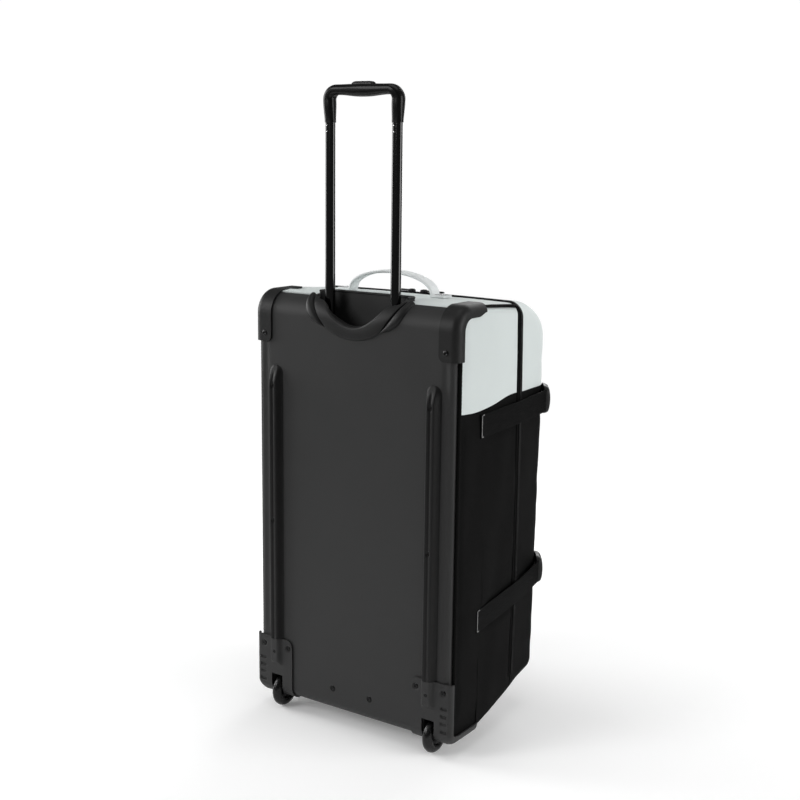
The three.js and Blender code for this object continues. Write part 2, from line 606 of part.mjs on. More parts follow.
// The trolley: two tubes that slide in hidden sleeves, a grip across their tops and a release button.
function trolley() {
  for (const { name, sign } of SIDES) {
    addPiece(`trolley_tube_${name}`, tubeSolid(sign, 0, TUBE.low, TUBE.top), MATERIALS.gloss);
    const [z0, z1] = [SLEEVE.low, WELL.floor - GAP];
    const sleeve = cut(tubeSolid(sign, GAP + SLEEVE.wall, z0, z1), tubeSolid(sign, GAP, z0 - 5, z1 + 5));
    addPiece(`trolley_sleeve_${name}`, sleeve, MATERIALS.steel);
  }
  const bar = { z: GRIP.top - GRIP.bar, high: GRIP.bar };
  const legX = GRIP.half - GRIP.leg;
  const centre = (sign, angle) => new THREE.Vector3(
    sign * (legX - GRIP.bend + GRIP.bend * Math.sin(angle)),
    TUBE.depth,
    bar.z - GRIP.bend + GRIP.bend * Math.cos(angle),
  );
  const leg = [
    { z: GRIP.low, size: NECK.size, deep: NECK.deep },
    {
      z: GRIP.low + NECK.shoulder,
      size: lerp(NECK.size, GRIP.leg, NECK.swell),
      deep: lerp(NECK.deep, GRIP.deep, NECK.swell),
    },
  ];
  const turn = [90, 68, 45, 22, 0].map(THREE.MathUtils.degToRad);
  const station = (at, tangent, size, deep) => ({ at, tangent, size, deep });
  const half = (sign) => [
    ...leg.map(({ z, size, deep }) => (
      station(new THREE.Vector3(sign * TUBE.x, TUBE.depth, z), new THREE.Vector3(0, 0, 1), size, deep)
    )),
    ...turn.map((angle) => {
      const along = new THREE.Vector3(-sign * Math.cos(angle), 0, Math.sin(angle));
      const f = Math.sin(angle);
      return station(centre(sign, angle), along, lerp(bar.high - 1, GRIP.leg - 1.5, f), GRIP.deep);
    }),
  ];
  const top = new THREE.Vector3(0, TUBE.depth, bar.z);
  const middle = station(top, new THREE.Vector3(1, 0, 0), bar.high, GRIP.deep + 1);
  const right = half(1).reverse().map(({ tangent, ...rest }) => ({ ...rest, tangent: tangent.negate() }));
  const sides = 14;
  const rings = [...half(-1), middle, ...right].map(({ at, tangent, size, deep }) => {
    const across = new THREE.Vector3(0, 1, 0).cross(tangent);
    return steps(0, 2 * Math.PI, sides).slice(1).map((angle) => {
      const blunt = (value) => Math.sign(value) * Math.abs(value) ** 0.75;
      return at.clone()
        .addScaledVector(across, size * blunt(Math.cos(angle)))
        .add(new THREE.Vector3(0, deep * blunt(Math.sin(angle)), 0));
    });
  });
  const sockets = SIDES.map(({ sign }) => tubeSolid(sign, GAP, GRIP.low - 5, TUBE.top + GAP));
  const seat = { half: BUTTON.half + GAP, deep: BUTTON.deep / 2 + GAP };
  const buttonRoom = block(
    -seat.half, seat.half, TUBE.depth - seat.deep, TUBE.depth + seat.deep,
    GRIP.top - BUTTON.sunk - BUTTON.room, GRIP.top + 10,
  );
  addPiece('trolley_grip', cut(throughRings(rings), ...sockets, buttonRoom), MATERIALS.gloss);
  const face = roundedTube(2 * BUTTON.half, BUTTON.deep, BUTTON.deep / 2 - 0.5);
  const button = upBag(face, GRIP.top - BUTTON.sunk, GRIP.top + BUTTON.proud, 5).translate(0, TUBE.depth, 0);
  addPiece('release_button', button, MATERIALS.gloss);
}

// Corner guards over the two top corners of the back panel, rolled round the edge to a leg down the side.
function cornerGuards() {
  const { inner, low, reach, roll, leg, corner } = GUARD;
  const profile = [{ y: 0, z: low, out: [-1, 0] }, ...topTurn(90), { y: reach, z: PANEL.top, out: [0, 1] }];
  const legs = profile.map((place, i) => ({ ...place, roll, leg: i < profile.length - 1 ? leg : roll + 1 }));
  const roundOff = cut(
    block(inner - 1, inner + corner, BEHIND, 0, low - 1, low + corner),
    throughBag(new THREE.Shape().absarc(inner + corner, low + corner, corner, 0, 2 * Math.PI), BEHIND - 1, 1, 24),
  );
  const guard = cut(rolledSheet(legs, GUARD), roundOff);
  for (const { name, sign } of SIDES) addPiece(`corner_guard_${name}`, onSide(sign, guard), MATERIALS.moulded);
}

// Skid rails on the back panel, with a slanted beak at the top.
function skidRails() {
  const ring = (z, proud, face) => [
    new THREE.Vector3(RAIL.x - RAIL.foot / 2, -GAP, z),
    new THREE.Vector3(RAIL.x - face / 2, -proud, z),
    new THREE.Vector3(RAIL.x + face / 2, -proud, z),
    new THREE.Vector3(RAIL.x + RAIL.foot / 2, -GAP, z),
  ];
  const low = HOUSING.top + GAP;
  const rail = throughRings([
    ring(low, RAIL.proud, RAIL.face),
    ring(RAIL.tip - RAIL.beak, RAIL.proud, RAIL.face),
    ring(RAIL.tip - RAIL.beak / 3, RAIL.proud * 0.8, RAIL.face * 0.9),
    ring(RAIL.tip, RAIL.proud * 0.25, RAIL.face * 0.8),
  ]);
  for (const { name, sign } of SIDES) addPiece(`skid_rail_${name}`, onSide(sign, rail), MATERIALS.moulded);
}

// Wheel housings on the two lower corners, each with a tub for its wheel and a foot below the rail.
function wheelHousings() {
  const { inner, outer, top, wall: skin, corner, slotTop } = HOUSING;
  const profile = [{ y: 0, z: top, out: [-1, 0] }, ...footTurn(), { y: PANEL.lip, z: PANEL.under, out: [0, -1] }];
  const lift = GAP + skin;
  const plate = rolledSheet(profile.map((place) => {
    const roll = lerp(HOUSING.roll, HOUSING.lowRoll, -Math.min(place.out[1], 0));
    return { ...place, roll, leg: roll + 1 };
  }), HOUSING);
  const behind = profile.map(({ y, z, out }) => new THREE.Vector2(y + out[0] * lift, z + out[1] * lift));
  const inside = acrossBag(new THREE.Shape([...behind, new THREE.Vector2(PANEL.lip, top)]), inner, outer);
  const footOutline = new THREE.Shape([
    [-skin, top], [-RAIL.proud, top], [-RAIL.proud, FOOT_BLOCK.low + FOOT_BLOCK.slope], [-skin, FOOT_BLOCK.low],
  ].map(([y, z]) => new THREE.Vector2(y, z)));
  const foot = acrossBag(footOutline, RAIL.x - RAIL.face / 2 - 1, RAIL.x + RAIL.face / 2 + 1);
  const tub = keepInside(block(WHEEL.x - TUB.half, WHEEL.x + TUB.half, -lift, TUB.back, 0, TUB.top), inside);
  const room = TUB.half - TUB.wall;
  const tubRoom = block(WHEEL.x - room, WHEEL.x + room, 0, TUB.back - TUB.wall, 0, TUB.top - TUB.wall);
  const slot = block(WHEEL.x - room, WHEEL.x + room, BEHIND, WHEEL.depth, 0, slotTop);
  const roundOff = cut(
    block(inner - 1, inner + corner, BEHIND, 0, top - corner, top + 1),
    throughBag(new THREE.Shape().absarc(inner + corner, top - corner, corner, 0, 2 * Math.PI), BEHIND - 1, 1, 24),
  );
  const bore = axleSolid(WHEEL.axle + GAP, 3 * TUB.half);
  const housing = cut(join(plate, foot, tub), tubRoom, slot, roundOff, bore);
  for (const { name, sign } of SIDES) addPiece(`wheel_housing_${name}`, onSide(sign, housing), MATERIALS.moulded);
}

function axleSolid(radius, length) {
  const stock = new THREE.CylinderGeometry(radius, radius, length, 16);
  return welded(stock.rotateZ(Math.PI / 2)).translate(WHEEL.x, WHEEL.depth, WHEEL.radius);
}

// A ring round the axle from a closed profile of radius and place along the axle.
function wheelRing(profile) {
  const points = [...profile, profile[0]].map(([radius, along]) => new THREE.Vector2(radius, along));
  const stock = new THREE.LatheGeometry(points, 24);
  return welded(stock.rotateZ(Math.PI / 2)).translate(WHEEL.x, WHEEL.depth, WHEEL.radius);
}

function wheels() {
  const half = WHEEL.width / 2;
  const { core, radius, tread, bore } = WHEEL;
  const crown = steps(-80, 80, 6).map((angle) => {
    const turn = THREE.MathUtils.degToRad(angle);
    return [radius - tread + tread * Math.cos(turn), half * Math.sin(turn)];
  });
  const tyre = wheelRing([[core, -half + 1], ...crown, [core, half - 1]]);
  const hub = wheelRing([[bore, -half - 1], [9, -half - 1], [11, -half + 3], [core - GAP, -half + 2],
    [core - GAP, half - 2], [11, half - 3], [9, half + 1], [bore, half + 1]]);
  const axle = axleSolid(WHEEL.axle, 2 * TUB.half);
  for (const { name, sign } of SIDES) {
    addPiece(`wheel_tyre_${name}`, onSide(sign, tyre), MATERIALS.tyre);
    addPiece(`wheel_hub_${name}`, onSide(sign, hub), MATERIALS.gloss);
    addPiece(`wheel_axle_${name}`, onSide(sign, axle), MATERIALS.steel);
  }
}

// The webbing carry handle arches over the middle of the top.
function carryHandle() {
  const { depth, half, rise, width, wall: thickness, foot } = CARRY;
  const across = new THREE.Vector3(0, 1, 0);
  const seat = onBody(depth, 0, 'top', 0).z + GAP;
  const arch = steps(180, 0, 14).map((angle) => {
    const turn = THREE.MathUtils.degToRad(angle);
    return new THREE.Vector3(half * Math.cos(turn), depth, seat + 1 + rise * Math.sin(turn));
  });
  const feet = [-1, 1].map((sign) => new THREE.Vector3(sign * (half + foot), depth, seat + 1));
  const path = [feet[0], ...arch, feet[1]];
  const stations = path.map((at, i) => {
    const along = path[Math.min(i + 1, path.length - 1)].clone().sub(path[Math.max(i - 1, 0)]).normalize();
    return { at, across, out: along.cross(across) };
  });
  addPiece('carry_handle', band(stations, width, thickness), MATERIALS.paleWebbing);
}

// A place on the lid's rounded side edge, by its angle from the side to the front, standing off the lid.
function lidCorner(angle, height, stand) {
  const depth = LID.front - LID.edge + LID.edge * Math.sin(angle);
  const inset = LID.edge * (1 - Math.cos(angle));
  const point = lidPlace(onBody(depth, inset, 'right', sideRun(depth, height)));
  return new THREE.Vector3(point.x + stand * Math.cos(angle), point.y + stand * Math.sin(angle), height);
}

function buckleFrame(height) {
  const turn = THREE.MathUtils.degToRad(BUCKLE.turn);
  const out = new THREE.Vector3(Math.cos(turn), Math.sin(turn), 0);
  const along = new THREE.Vector3(-Math.sin(turn), Math.cos(turn), 0);
  const end = (sign, stand) => lidCorner(turn, height, stand).addScaledVector(along, sign * (BUCKLE.half + GAP));
  return { turn, out, along, end };
}

function sideStraps() {
  const up = new THREE.Vector3(0, 0, 1);
  for (const { name: level, sewn, buckle } of STRAPS) {
    const { turn, out, along, end } = buckleFrame(buckle);
    const grow = (depth) => lerp(sewn, buckle, (depth - STRAP.start) / (LID.front - STRAP.start));
    const onSidePath = [STRAP.start, 110, 150, 190, 212].map((depth, i) => {
      const height = grow(depth);
      const skin = onBody(depth, 0, 'right', sideRun(depth, height));
      const lift = [STRAP.lift, STRAP.lift, 2.6, 4.2, 4.6][i];
      return { at: new THREE.Vector3(skin.x + lift, depth, height), across: up, out: new THREE.Vector3(1, 0, 0) };
    });
    const bridge = { at: end(-1, BUCKLE.stand + 3), across: up, out };
    const strap = band([...onSidePath, bridge], STRAP.width, STRAP.wall);
    const bow = new THREE.Shape();
    bow.moveTo(-BUCKLE.half, 0);
    bow.lineTo(BUCKLE.half, 0);
    bow.lineTo(BUCKLE.half, BUCKLE.thick - BUCKLE.bow);
    bow.quadraticCurveTo(0, BUCKLE.thick + BUCKLE.bow, -BUCKLE.half, BUCKLE.thick - BUCKLE.bow);
    const place = new THREE.Matrix4().makeBasis(along.clone().negate(), out, up);
    place.setPosition(lidCorner(turn, buckle, BUCKLE.stand));
    const clip = upBag(bow, -BUCKLE.height / 2, BUCKLE.height / 2).applyMatrix4(place);
    for (const { name, sign } of SIDES) {
      addPiece(`strap_${level}_${name}`, onSide(sign, strap), MATERIALS.webbing);
      addPiece(`buckle_${level}_${name}`, onSide(sign, clip), MATERIALS.moulded);
    }
    frontStrap(level, buckle, end, out);
  }
}

// The strap between the two buckles lies across the front of the lid.
function frontStrap(level, height, end, out) {
  const up = new THREE.Vector3(0, 0, 1);
  const front = new THREE.Vector3(0, 1, 0);
  const shallow = (x) => {
    const inset = column(BODY, 'half', LID.front) - x;
    const f = THREE.MathUtils.clamp((inset - LID.edge) / (LID_FRONT_INSETS[2] - LID.edge), 0, 1);
    const depth = LID.front + LID.crown * Math.sin((f * Math.PI) / 2) + STRAP.frontLift;
    return lidPlace(new THREE.Vector3(x, depth, height));
  };
  const right = [120, 60].map((x) => ({ at: shallow(x), across: up, out: front }));
  const corner = { at: end(1, BUCKLE.stand + 3), across: up, out };
  const half = [corner, ...right];
  const left = half.map(({ at, out: away }) => ({
    at: at.clone().multiply(new THREE.Vector3(-1, 1, 1)),
    across: up,
    out: away.clone().multiply(new THREE.Vector3(-1, 1, 1)),
  })).reverse();
  addPiece(`strap_front_${level}`, band([...half, ...left], STRAP.width, STRAP.wall), MATERIALS.webbing);
}

backPanel();
bodyPanels();
lidPieces();
zipBand();
zipPulls();
piping();
handleWell();
trolley();
cornerGuards();
skidRails();
wheelHousings();
wheels();
carryHandle();
sideStraps();

bag.position.y = -DEPTH_MIDDLE;
const travelBag = new THREE.Group();
travelBag.add(bag);

export default travelBag;
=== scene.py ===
# %% [markdown]
# # A wheeled travel bag
# A tall soft-sided bag stands on two wheels with its pull handle out. Its back is one stiff moulded
# panel, and the rest is coated cloth sewn into a shell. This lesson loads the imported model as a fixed
# frame and lays a finely shaped, finished surface over each of its pieces.

import bmesh
import bpy
import numpy as np
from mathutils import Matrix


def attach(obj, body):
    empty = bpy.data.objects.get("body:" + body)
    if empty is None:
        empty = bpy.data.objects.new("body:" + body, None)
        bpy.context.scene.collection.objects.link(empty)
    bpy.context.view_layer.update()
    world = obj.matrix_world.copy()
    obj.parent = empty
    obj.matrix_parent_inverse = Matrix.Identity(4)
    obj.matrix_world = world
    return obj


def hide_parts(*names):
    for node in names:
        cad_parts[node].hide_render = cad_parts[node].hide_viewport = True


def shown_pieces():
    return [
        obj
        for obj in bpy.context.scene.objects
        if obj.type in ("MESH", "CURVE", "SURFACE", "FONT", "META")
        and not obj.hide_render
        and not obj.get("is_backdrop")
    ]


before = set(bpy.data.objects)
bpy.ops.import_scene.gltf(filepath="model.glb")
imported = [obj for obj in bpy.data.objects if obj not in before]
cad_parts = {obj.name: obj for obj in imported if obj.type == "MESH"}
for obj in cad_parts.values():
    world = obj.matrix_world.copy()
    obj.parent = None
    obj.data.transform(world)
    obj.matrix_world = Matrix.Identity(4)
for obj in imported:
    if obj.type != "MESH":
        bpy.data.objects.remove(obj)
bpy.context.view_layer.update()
print("nodes in the frame:", len(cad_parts))

# %% [markdown]
# ## The camera
# The picture was taken from behind the bag and to its right, a little above the middle. The camera is
# placed by its angles round a target, its distance and its focal length in pixels of the square picture,
# so that straight edges of the bag run as they do in the picture.

# %% Camera
AZIMUTH, ELEVATION, ROLL = np.radians([34.4, 11.0, 0.7])
TARGET = np.array([-0.0218, 0.0171, 0.5678])
DISTANCE = 2.349
FOCAL_PIXELS = 1297.5
IMAGE_PIXELS = 800
SENSOR = 36.0


def unit(vectors):
    return vectors / np.linalg.norm(vectors, axis=-1, keepdims=True)


def linked(name, data):
    """A new object of the given data, in the scene."""
    thing = bpy.data.objects.new(name, data)
    bpy.context.collection.objects.link(thing)
    return thing


def stood(name, data, axes, place):
    """A new object at a place, with its own three axes along the given ones."""
    matrix = np.eye(4)
    matrix[:3, :3] = np.stack(axes, axis=1)
    matrix[:3, 3] = place
    thing = linked(name, data)
    thing.matrix_world = matrix.T.tolist()
    return thing


def camera_axes():
    """Right, up and back of the camera: back points from the target to the eye by azimuth and elevation,
    and the other two are turned round it by the roll."""
    level_back = np.array([np.sin(AZIMUTH), -np.cos(AZIMUTH), 0.0])
    back = level_back * np.cos(ELEVATION) + np.array([0.0, 0.0, np.sin(ELEVATION)])
    level = unit(np.cross(-back, [0.0, 0.0, 1.0]))
    right = np.cos(ROLL) * level + np.sin(ROLL) * np.cross(level, -back)
    return right, np.cross(back, right), back


axes = camera_axes()
camera_data = bpy.data.cameras.new("camera")
camera_data.sensor_width = SENSOR
camera_data.lens = FOCAL_PIXELS / IMAGE_PIXELS * SENSOR
bpy.context.scene.camera = stood("camera", camera_data, axes, TARGET + axes[2] * DISTANCE)
print("camera lens:", round(camera_data.lens, 2))

# %% [markdown]
# ## Light
# A product picture like this one is lit by large soft boxes round the object, while the room itself stays
# dim, so that black plastic stays black and only its edges catch the boxes. A white backdrop hides the
# room. It shows to the camera only, so it neither lights the bag nor mirrors in it.

# %% Light
LIGHTS = [
    ("light_left", (-3.2, -0.7, 1.3), 1.8, 76.0),
    ("light_back", (-1.7, -2.8, 2.1), 1.5, 50.0),
    ("light_right", (2.9, 0.7, 1.2), 1.9, 62.0),
    ("light_front", (-0.5, 3.2, 1.5), 2.2, 58.0),
    ("light_top", (0.1, -0.2, 3.3), 2.2, 22.0),
]
ROOM = 0.13
LIT_MIDDLE = np.array([0.0, 0.0, 0.5])


def area_light(name, place, size, power):
    """A square soft box at a place, turned to face the middle of the bag."""
    data = bpy.data.lights.new(name, "AREA")
    data.shape = "SQUARE"
    data.size = size
    data.energy = power
    away = unit(np.array(place) - LIT_MIDDLE)
    across = unit(np.cross([0.0, 1.0, 0.0], away))
    stood(name, data, (across, np.cross(away, across), away), place)


for light in LIGHTS:
    area_light(*light)
world = bpy.data.worlds.new("room")
world.use_nodes = True
background = world.node_tree.nodes["Background"].inputs
background["Color"].default_value = (1.0, 1.0, 1.0, 1.0)
background["Strength"].default_value = ROOM
bpy.context.scene.world = world
bpy.context.scene.view_settings.view_transform = "Standard"
print("lights:", len(LIGHTS))

# %% [markdown]
# ## Writing finishes as sums
# A finish is a formula: a base value plus grain, weave and wear. Python can write it as a formula too.
# One small class wraps a socket, so that arithmetic on it adds Math nodes, and another wraps a material
# and adds any other node by its type, its settings and its inputs.

# %% Shader sums
class Wire:
    """A shader socket. Arithmetic on it adds a Math node and returns that node's output."""

    def __init__(self, finish, socket):
        self.finish = finish
        self.socket = socket

    def math(self, operation, *values):
        return self.finish.node("ShaderNodeMath", {"operation": operation}, dict(enumerate(values)))

    def __add__(self, other):
        return self.math("ADD", self, other)

    def __radd__(self, other):
        return self.math("ADD", other, self)

    def __sub__(self, other):
        return self.math("SUBTRACT", self, other)

    def __rsub__(self, other):
        return self.math("SUBTRACT", other, self)

    def __mul__(self, other):
        return self.math("MULTIPLY", self, other)

    def __pow__(self, other):
        return self.math("POWER", self, other)

    def sine(self):
        return self.math("SINE", self)

    def size(self):
        return self.math("ABSOLUTE", self)

    def rise(self, low, high):
        """0 below low, 1 above high, smooth between."""
        settings = {"interpolation_type": "SMOOTHSTEP"}
        inputs = {"Value": self, "From Min": low, "From Max": high}
        return self.finish.node("ShaderNodeMapRange", settings, inputs)


class Finish:
    """A material and the slot it fills: its shader's even values, and the nodes that vary the others."""

    def __init__(self, name, slot=None, **even):
        self.slot = slot or name
        self.material = bpy.data.materials.new(name)
        self.material.use_nodes = True
        self.tree = self.material.node_tree
        self.shader = self.tree.nodes["Principled BSDF"]
        for socket, value in even.items():
            self.shader.inputs[socket.replace("_", " ")].default_value = value

    def node(self, kind, settings, inputs, output=0):
        """Adds a node, sets its settings, feeds its inputs and returns one output."""
        node = self.tree.nodes.new(kind)
        for key, value in settings.items():
            setattr(node, key, value)
        for key, value in inputs.items():
            self.feed(node.inputs[key], value)
        return Wire(self, node.outputs[output])

    def feed(self, socket, value):
        if isinstance(value, Wire):
            self.tree.links.new(value.socket, socket)
        else:
            socket.default_value = value

    def place(self):
        return self.node("ShaderNodeTexCoord", {}, {}, "Object")

    def cloth_place(self):
        return self.node("ShaderNodeTexCoord", {}, {}, "UV")

    def axes(self, vector):
        split = self.node("ShaderNodeSeparateXYZ", {}, {"Vector": vector}).socket.node
        return [Wire(self, output) for output in split.outputs]

    def noise(self, where, scale, detail=3.0):
        return self.node("ShaderNodeTexNoise", {}, {"Vector": where, "Scale": scale, "Detail": detail})

    def cells(self, where, scale):
        return self.node("ShaderNodeTexVoronoi", {}, {"Vector": where, "Scale": scale}, "Distance")

    def stretched(self, where, factors):
        return self.node("ShaderNodeVectorMath", {"operation": "MULTIPLY"}, {0: where, 1: factors})

    def mix(self, factor, first, second):
        return self.node("ShaderNodeMix", {"data_type": "RGBA"}, {0: factor, 6: first, 7: second}, 2)

    def bump(self, height, distance):
        return self.node("ShaderNodeBump", {}, {"Height": height, "Distance": distance, "Strength": 1.0})

    def wear(self, **varied):
        """Feeds the shader's varied sockets."""
        for socket, value in varied.items():
            self.feed(self.shader.inputs[socket.replace("_", " ")], value)
        return self


def grey(value):
    return (value, value, value, 1.0)


print("shader helpers ready")

# %% [markdown]
# ## Moulded finishes
# The back panel and the wheel housings are a satin grey plastic with a fine spark-eroded grain. The guards
# and the well's rim are a blacker plastic of the same grain. The rails take that plastic painted darker
# still: painted shade, standing for the shadow along their flanks. The handle and hubs are smooth and glossy.
# Each gets grain as bump, cloudy roughness, and pale rubbing where a broad noise runs high.

# %% Moulded finishes
GRAIN_DEPTH = 0.00012


def moulded(name, dark, pale, rough, grain, slot=None):
    """Grainy plastic: grey drifts between dark and pale, roughness drifts round rough, and a cell
    pattern of the given scale is raised."""
    finish = Finish(name, slot, Specular_IOR_Level=0.2)
    where = finish.place()
    cloud = finish.noise(where, 9.0, 4.0)
    fine = finish.noise(where, 260.0, 2.0)
    scuff = finish.noise(finish.stretched(where, (60.0, 60.0, 9.0)), 3.0, 5.0).rise(0.62, 0.78)
    return finish.wear(
        Base_Color=finish.mix(cloud * 0.7 + scuff * 0.3, grey(dark), grey(pale)),
        Roughness=rough + (cloud - 0.5) * 0.16 + scuff * 0.06,
        Normal=finish.bump(finish.cells(where, grain) + fine * 0.6, GRAIN_DEPTH),
    )


def glossy(name, dark, rough, coat):
    """Smooth gloss plastic or lacquer: faint waviness, and fine wiping marks in the roughness."""
    finish = Finish(name, Coat_Weight=coat, Coat_Roughness=0.08, Specular_IOR_Level=0.1)
    where = finish.place()
    wipe = finish.noise(finish.stretched(where, (300.0, 300.0, 24.0)), 1.0, 3.0)
    return finish.wear(
        Base_Color=finish.mix(finish.noise(where, 30.0), grey(dark), grey(dark * 1.5)),
        Roughness=rough + wipe * 0.1,
        Normal=finish.bump(finish.noise(where, 70.0), 0.00006),
    )


PANEL_PLASTIC = moulded("panel_plastic", 0.027, 0.034, 0.5, 900.0)
MOULDED_PLASTIC = moulded("moulded_plastic", 0.010, 0.016, 0.46, 750.0)
GLOSS_PLASTIC = glossy("gloss_plastic", 0.003, 0.3, 0.14)
# Painted shade: the rails' finish is the moulded plastic made darker, to stand for the shadow along their
# flanks.
RAIL_PLASTIC_PAINTED_SHADE = moulded("rail_plastic_painted_shade", 0.005, 0.009, 0.46, 750.0, "moulded_plastic")
BLACK_TUBE = glossy("black_tube", 0.001, 0.12, 0.8)
print("moulded finishes: 5")

# %% [markdown]
# ## Cloth finishes
# The cloth is woven polyester with a coating, so the threads show as a shallow plain weave under a soft
# sheen. Webbing is coarser: it has ribs across it and a herringbone along it. Both weaves are laid out
# in metres along the cloth, by the UV map that each piece carries.

# %% Cloth finishes
PI = float(np.pi)
WALE, RIB = 0.005, 0.0024


def woven(name, dark, pale, rough, pitch, depth, sheen):
    """Plain weave: the product of two thread waves of the given pitch, with drifting colour and slubs."""
    finish = Finish(name, Sheen_Weight=sheen, Sheen_Roughness=0.5, Specular_IOR_Level=0.05)
    along, across, _ = finish.axes(finish.cloth_place())
    warp = (along * (2 * PI / pitch)).sine()
    weft = (across * (2 * PI / pitch)).sine()
    where = finish.place()
    cloud = finish.noise(where, 6.0, 4.0)
    slub = finish.noise(where, 700.0, 2.0)
    return finish.wear(
        Base_Color=finish.mix(cloud * 0.6 + slub * 0.4, dark, pale),
        Roughness=rough + (slub - 0.5) * 0.15,
        Normal=finish.bump(warp * weft * 0.5 + slub * 0.8 + cloud * 0.4, depth),
    )


def webbing(name, dark, pale, slot=None):
    """Webbing: slanted ribs that turn at the middle of each wale, with painted shade in the colour: darker
    in the gaps between wales and in the troughs of the ribs, where the relief sinks.
    """
    finish = Finish(name, slot, Specular_IOR_Level=0.06)
    across, along, _ = finish.axes(finish.cloth_place())
    wale = (across * (PI / WALE)).sine().size()
    rib = (along * (2 * PI / RIB) + wale * 2.4).sine()
    fuzz = finish.noise(finish.place(), 900.0, 2.0)
    return finish.wear(
        # Painted shade: the colour follows the relief, darker in the gaps between wales and the troughs of
        # the ribs.
        Base_Color=finish.mix(rib * 0.25 + wale * 0.4 + fuzz * 0.35, dark, pale),
        Roughness=0.7 + (fuzz - 0.5) * 0.2,
        Normal=finish.bump(rib * 0.5 + wale + fuzz * 0.4, 0.00035),
    )


PALE_CLOTH = woven("pale_cloth", (0.60, 0.65, 0.64, 1), (0.66, 0.705, 0.695, 1), 0.62, 0.0011, 0.00009, 0.1)
BLACK_CLOTH = woven("black_cloth", grey(0.003), grey(0.005), 0.75, 0.0013, 0.00016, 0.0)
BLACK_WEBBING = webbing("black_webbing", grey(0.0015), grey(0.0045))
PALE_WEBBING = webbing("pale_webbing", (0.76, 0.79, 0.79, 1), (0.88, 0.90, 0.90, 1))
THREAD = webbing("thread", grey(0.24), grey(0.36), "pale_webbing")
print("cloth finishes: 5")

# %% [markdown]
# ## Rubber and bare metal
# The wheels have cast polyurethane tyres, which stay black and rather glossy with fine dust in the pores.
# Bare metal shows only on the axles, the tiny pins and the hidden sleeves, and is lightly brushed.

# %% Rubber and bare metal
def rubber():
    """Cast tyre: fine pores, and pale dust where a noise runs high."""
    finish = Finish("tyre", Specular_IOR_Level=0.3)
    where = finish.place()
    dust = finish.noise(where, 120.0, 5.0).rise(0.5, 0.8)
    return finish.wear(
        Base_Color=finish.mix(dust, grey(0.003), grey(0.010)),
        Roughness=0.24 + dust * 0.3,
        Normal=finish.bump(finish.noise(where, 500.0, 2.0), 0.00005),
    )


def brushed():
    """Brushed steel: noise drawn out along the height."""
    finish = Finish("bare_metal", Metallic=1.0)
    where = finish.place()
    lines = finish.noise(finish.stretched(where, (900.0, 900.0, 40.0)), 1.0, 4.0)
    return finish.wear(
        Base_Color=finish.mix(lines, grey(0.42), grey(0.6)),
        Roughness=0.22 + lines * 0.2,
        Normal=finish.bump(lines, 0.00003),
    )


TYRE = rubber()
BARE_METAL = brushed()
print("finishes:", len([m for m in bpy.data.materials if m.use_nodes]))

# %% [markdown]
# ## Surfaces from grids
# Every new piece is a grid of points, worked out as a whole array. Lengths are millimetres, with x
# across, depth from the back panel's outer face and z up; only the last step turns them into metres in
# the frame. A sheet is given a wall by following its normals inwards, and a closed piece is welded
# along its seams and poles.

# %% Grids
DEPTH_MIDDLE = 158.3
MIDDLE = np.array([0.0, 150.0, 400.0])


def point(x, depth, z):
    return np.stack(np.broadcast_arrays(x, depth, z), axis=-1).astype(float)


def metres(points):
    return (points - np.array([0.0, DEPTH_MIDDLE, 0.0])) * 0.001


def quads(grid):
    """Corner numbers of the faces between neighbouring points of a grid, or of many equal grids."""
    count, rows, columns = grid.shape[-4] if grid.ndim == 4 else 1, grid.shape[-3], grid.shape[-2]
    index = np.arange(count * rows * columns).reshape(count, rows, columns)
    faces = [index[:, :-1, :-1], index[:, 1:, :-1], index[:, 1:, 1:], index[:, :-1, 1:]]
    return np.stack(faces, axis=-1).reshape(-1, 4)


def run(grid, axis):
    """Length along one axis of a grid, summed from its first point."""
    length = np.linalg.norm(np.diff(grid, axis=axis), axis=-1)
    return np.cumsum(np.insert(length, 0, 0.0, axis=axis), axis=axis)


def laid_out(grid):
    """A flat layout of a grid in metres: length along its columns, and length along its rows."""
    return np.stack([run(grid, grid.ndim - 2), run(grid, grid.ndim - 3)], axis=-1) * 0.001


def gathered(grids):
    """One list of points, faces and layout from several grids."""
    points = np.concatenate([grid.reshape(-1, 3) for grid in grids])
    flat = np.concatenate([laid_out(grid).reshape(-1, 2) for grid in grids])
    starts = np.cumsum([0] + [grid.size // 3 for grid in grids[:-1]])
    faces = np.concatenate([quads(grid) + start for grid, start in zip(grids, starts)])
    return points, faces, flat


print("grid helpers ready")

# %% [markdown]
# ## Floor and backdrop
# The floor is a pale disc that fades out at its rim into the backdrop, a white dome far away. Neither is
# part of the bag, so both are marked as the stage.

# %% Floor and backdrop
FLOOR_FADE, FLOOR_REACH = 1.1, 2.6
DOME_REACH = 14.0


def stage_piece(name, grid, finish):
    """A stage object from a grid in metres."""
    mesh = bpy.data.meshes.new(name)
    mesh.from_pydata(grid.reshape(-1, 3).tolist(), [], quads(grid).tolist())
    mesh.materials.append(finish.material)
    piece = linked(name, mesh)
    piece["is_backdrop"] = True
    return piece


def floor_sheet():
    """Pale paper: a faint mottle, see-through towards the rim of the disc."""
    finish = Finish(
        "floor_sheet", Roughness=0.9, Specular_IOR_Level=0.1,
        Emission_Color=grey(1.0), Emission_Strength=0.16,
    )
    where = finish.place()
    x, y, _ = finish.axes(where)
    reach = (x * x + y * y) ** 0.5
    return finish.wear(
        Base_Color=finish.mix(finish.noise(where, 3.0), grey(0.90), grey(0.93)),
        Alpha=1 - reach.rise(FLOOR_FADE, FLOOR_REACH - 0.1),
    )


